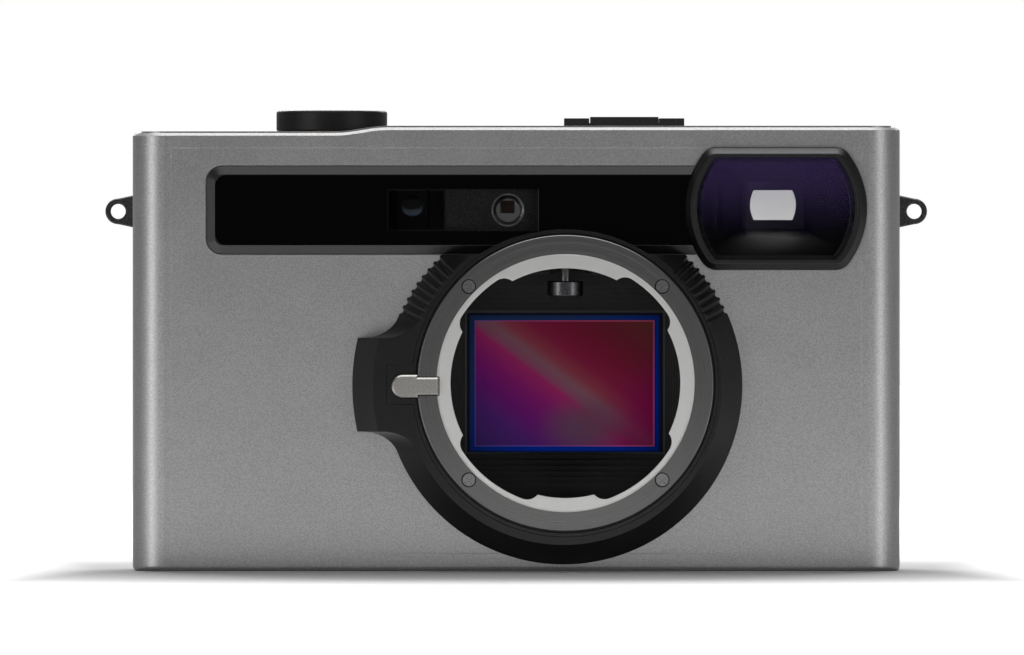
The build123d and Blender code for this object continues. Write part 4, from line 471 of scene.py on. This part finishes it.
def print_marks(name, marks, body):
    """Text in thin paint that rides on one body."""
    sheet = bmesh.new()
    for words, size, place in marks:
        curve = bpy.data.curves.new(name, "FONT")
        curve.body = words
        curve.size = size
        curve.align_x = "CENTER"
        curve.align_y = "CENTER"
        curve.extrude = paint_thickness
        curve.resolution_u = 3
        holder = bpy.data.objects.new(name, curve)
        letters = bpy.data.meshes.new_from_object(holder)
        letters.transform(place)
        sheet.from_mesh(letters)
        bpy.data.objects.remove(holder)
    paint = bpy.data.meshes.new(name)
    bmesh.ops.remove_doubles(sheet, verts=sheet.verts, dist=1e-7)
    bmesh.ops.recalc_face_normals(sheet, faces=sheet.faces)
    sheet.to_mesh(paint)
    sheet.free()
    piece = bpy.data.objects.new(name, paint)
    bpy.context.collection.objects.link(piece)
    paint.materials.append(mark_white)
    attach(piece, body)


paint_thickness = 0.00001
mark_white = blasted("mark white", rgb(206, 206, 204), rgb(222, 222, 220), 0.6, 0.0002, 0.000001)
dial_low, dial_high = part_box("speed_dial")
dial_middle = (dial_low + dial_high) / 2
speeds = ["1", "2", "4", "8", "15", "30", "60", "125", "250", "500"]
number_radius = 0.0072
number_size = 0.0019
sign_size = 0.004
marks = []
for index, speed in enumerate(speeds):
    turn = Matrix.Rotation(-2 * pi * index / len(speeds), 4, "Z")
    seat = Matrix.Translation((dial_middle.x, dial_middle.y, dial_high.z + paint_thickness))
    marks.append((speed, number_size, seat @ turn @ Matrix.Translation((0.0, number_radius, 0.0))))
print_marks("dial_numbers", marks, "dial")
face_back = Matrix.Rotation(pi, 4, "Z") @ Matrix.Rotation(pi / 2, 4, "X")
for name, sign, body in (("plus", "+", "plus_key"), ("minus", "-", "minus_key")):
    key_low, key_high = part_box(name + "_button")
    key_middle = (key_low + key_high) / 2
    seat = Matrix.Translation((key_middle.x, key_high.y + paint_thickness, key_middle.z))
    print_marks(name + "_mark", [(sign, sign_size, seat @ face_back)], body)

# Accessory shoe: a folded and milled black shoe with a blackened spring in it.
shoe_black = blasted("shoe black", rgb(56, 56, 56), rgb(68, 67, 66), 0.5, 0.00014, 0.00001, Metallic=0.6)
dress(shoe_black, "hot_shoe", "shoe_spring")

# Back: a plate of the casing's metal with a thumb rest, a glass screen, the eyepiece and buttons.
dress(silver, "rear_cover")
dress(anodised, "eyepiece_ring", "power_button", "plus_button", "minus_button")
screen_low, screen_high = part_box("rear_screen")
screen_middle = (screen_low + screen_high) / 2
screen_half = (screen_high - screen_low) / 2
screen_border = 0.0035
screen_glass, start = new_finish("screen glass", Roughness=0.05, Specular_IOR_Level=0.4)
place = start.node("ShaderNodeTexCoord", out=3)
across = abs(start.node("ShaderNodeSeparateXYZ", {}, {0: place}, out=0) - screen_middle.x)
up = abs(start.node("ShaderNodeSeparateXYZ", {}, {0: place}, out=2) - screen_middle.z)
outside_x = fade(across, screen_half.x - screen_border, screen_half.x - screen_border + 0.0001)
outside_z = fade(up, screen_half.z - screen_border, screen_half.z - screen_border + 0.0001)
outside = start.math("MAXIMUM", outside_x, outside_z)
feed(screen_glass, Base_Color=mix(outside, rgb(20, 21, 24), rgb(6, 6, 7)))
dress(screen_glass, "rear_screen")
dress(steel, "usb_socket")

# Stage: a white floor that keeps the camera's shadow, and a white backdrop in the world. The large
# soft box behind throws the shadow forwards, the one above lights the top edges, and a strip on
# each side lights the rounded corners.
floor_size = 6.0
ground = bpy.data.meshes.new("floor")
sheet = bmesh.new()
bmesh.ops.create_grid(sheet, x_segments=1, y_segments=1, size=floor_size)
sheet.to_mesh(ground)
sheet.free()
floor = bpy.data.objects.new("floor", ground)
bpy.context.collection.objects.link(floor)
floor_white, start = new_finish("floor white", Roughness=1.0, Specular_IOR_Level=0.0, Emission_Strength=1.0)
shader = floor_white.node_tree.nodes["Principled BSDF"]
shader.inputs["Base Color"].default_value = (0.97, 0.97, 0.97, 1.0)
place = start.node("ShaderNodeTexCoord", out=3)
across = start.node("ShaderNodeSeparateXYZ", {}, {0: place}, out=0)
back = start.node("ShaderNodeSeparateXYZ", {}, {0: place}, out=1)
away = (across * across + back * back) ** 0.5
path = floor_white.node_tree.nodes.new("ShaderNodeLightPath").outputs
camera_ray = Socket(floor_white.node_tree, path["Is Camera Ray"])
glossy_ray = Socket(floor_white.node_tree, path["Is Glossy Ray"])
clear_ray = Socket(floor_white.node_tree, path["Is Transmission Ray"])
far_glow = glossy_ray * fade(back, 0.2, 0.6) * 0.35
shown = start.math("MAXIMUM", camera_ray, start.math("MAXIMUM", clear_ray, far_glow))
near = fade(back, -0.022, -0.035) * fade(back, -0.3, -0.12) * fade(abs(across), 0.3, 0.2)
lit_floor = start.math("MAXIMUM", fade(away, 0.06, 0.22), fade(abs(across), 0.072, 0.1))
glow_amount = shown * lit_floor + glossy_ray * near
feed(floor_white, Emission_Color=mix(glow_amount, (0, 0, 0, 1), (1, 1, 1, 1)))
ground.materials.append(floor_white)

world = bpy.data.worlds.new("studio")
bpy.context.scene.world = world
world.use_nodes = True
start = Socket(world.node_tree)
way = start.node("ShaderNodeTexCoord", out=0)
behind = fade(start.node("ShaderNodeSeparateXYZ", {}, {0: way}, out=1), 0.93, 0.99)
zenith = fade(start.node("ShaderNodeSeparateXYZ", {}, {0: way}, out=2), 0.75, 0.95)
path = world.node_tree.nodes.new("ShaderNodeLightPath").outputs
camera_ray = Socket(world.node_tree, path["Is Camera Ray"])
glossy_ray = Socket(world.node_tree, path["Is Glossy Ray"])
clear_ray = Socket(world.node_tree, path["Is Transmission Ray"])
shown = start.math("MAXIMUM", camera_ray, start.math("MAXIMUM", clear_ray, glossy_ray * behind * 0.35))
above = mix(zenith, (0.2, 0.2, 0.2, 1.0), (2.2, 2.2, 2.2, 1.0))
room = mix(glossy_ray, (0.05, 0.05, 0.05, 1.0), above)
sky = mix(shown, room, (1.0, 1.0, 1.0, 1.0))
world.node_tree.links.new(sky.link, world.node_tree.nodes["Background"].inputs["Color"])


def soft_box(name, place, width, height, power):
    """Rectangular lamp that points at the middle of the camera body."""
    lamp = bpy.data.lights.new(name, "AREA")
    lamp.shape = "RECTANGLE"
    lamp.size = width
    lamp.size_y = height
    lamp.energy = power
    stand = bpy.data.objects.new(name, lamp)
    stand.location = place
    stand.rotation_euler = (Vector((0.0, 0.0, 0.04)) - Vector(place)).to_track_quat("-Z", "Y").to_euler()
    stand.visible_camera = False
    bpy.context.collection.objects.link(stand)


soft_box("back box", (0.0, 0.86, 0.56), 0.9, 0.4, 8.0)
soft_box("upper box", (0.0, 0.25, 0.9), 0.5, 0.3, 1.2)
soft_box("left strip", (-0.9, -0.8, 0.16), 0.22, 0.3, 2.2)
soft_box("right strip", (0.9, -0.8, 0.16), 0.22, 0.3, 1.6)

# Camera: straight in front, three metres away at half the body's height, with the film shifted to
# frame the body as the photograph does.
photo_width = 0.18424
photo_left = -0.00076
photo_middle = 0.04374
sharp_plane = -0.0107
distance = 3.0
lens_height = 0.05
lens = bpy.data.cameras.new("camera")
lens.sensor_width = 36.0
lens.lens = lens.sensor_width * distance / photo_width
lens.shift_y = (photo_middle - lens_height) / photo_width
lens.clip_end = 50.0
camera = bpy.data.objects.new("camera", lens)
camera.location = (photo_left, sharp_plane - distance, lens_height)
camera.rotation_euler = (pi / 2, 0.0, 0.0)
bpy.context.collection.objects.link(camera)
bpy.context.scene.camera = camera
bpy.context.scene.view_settings.view_transform = "Standard"
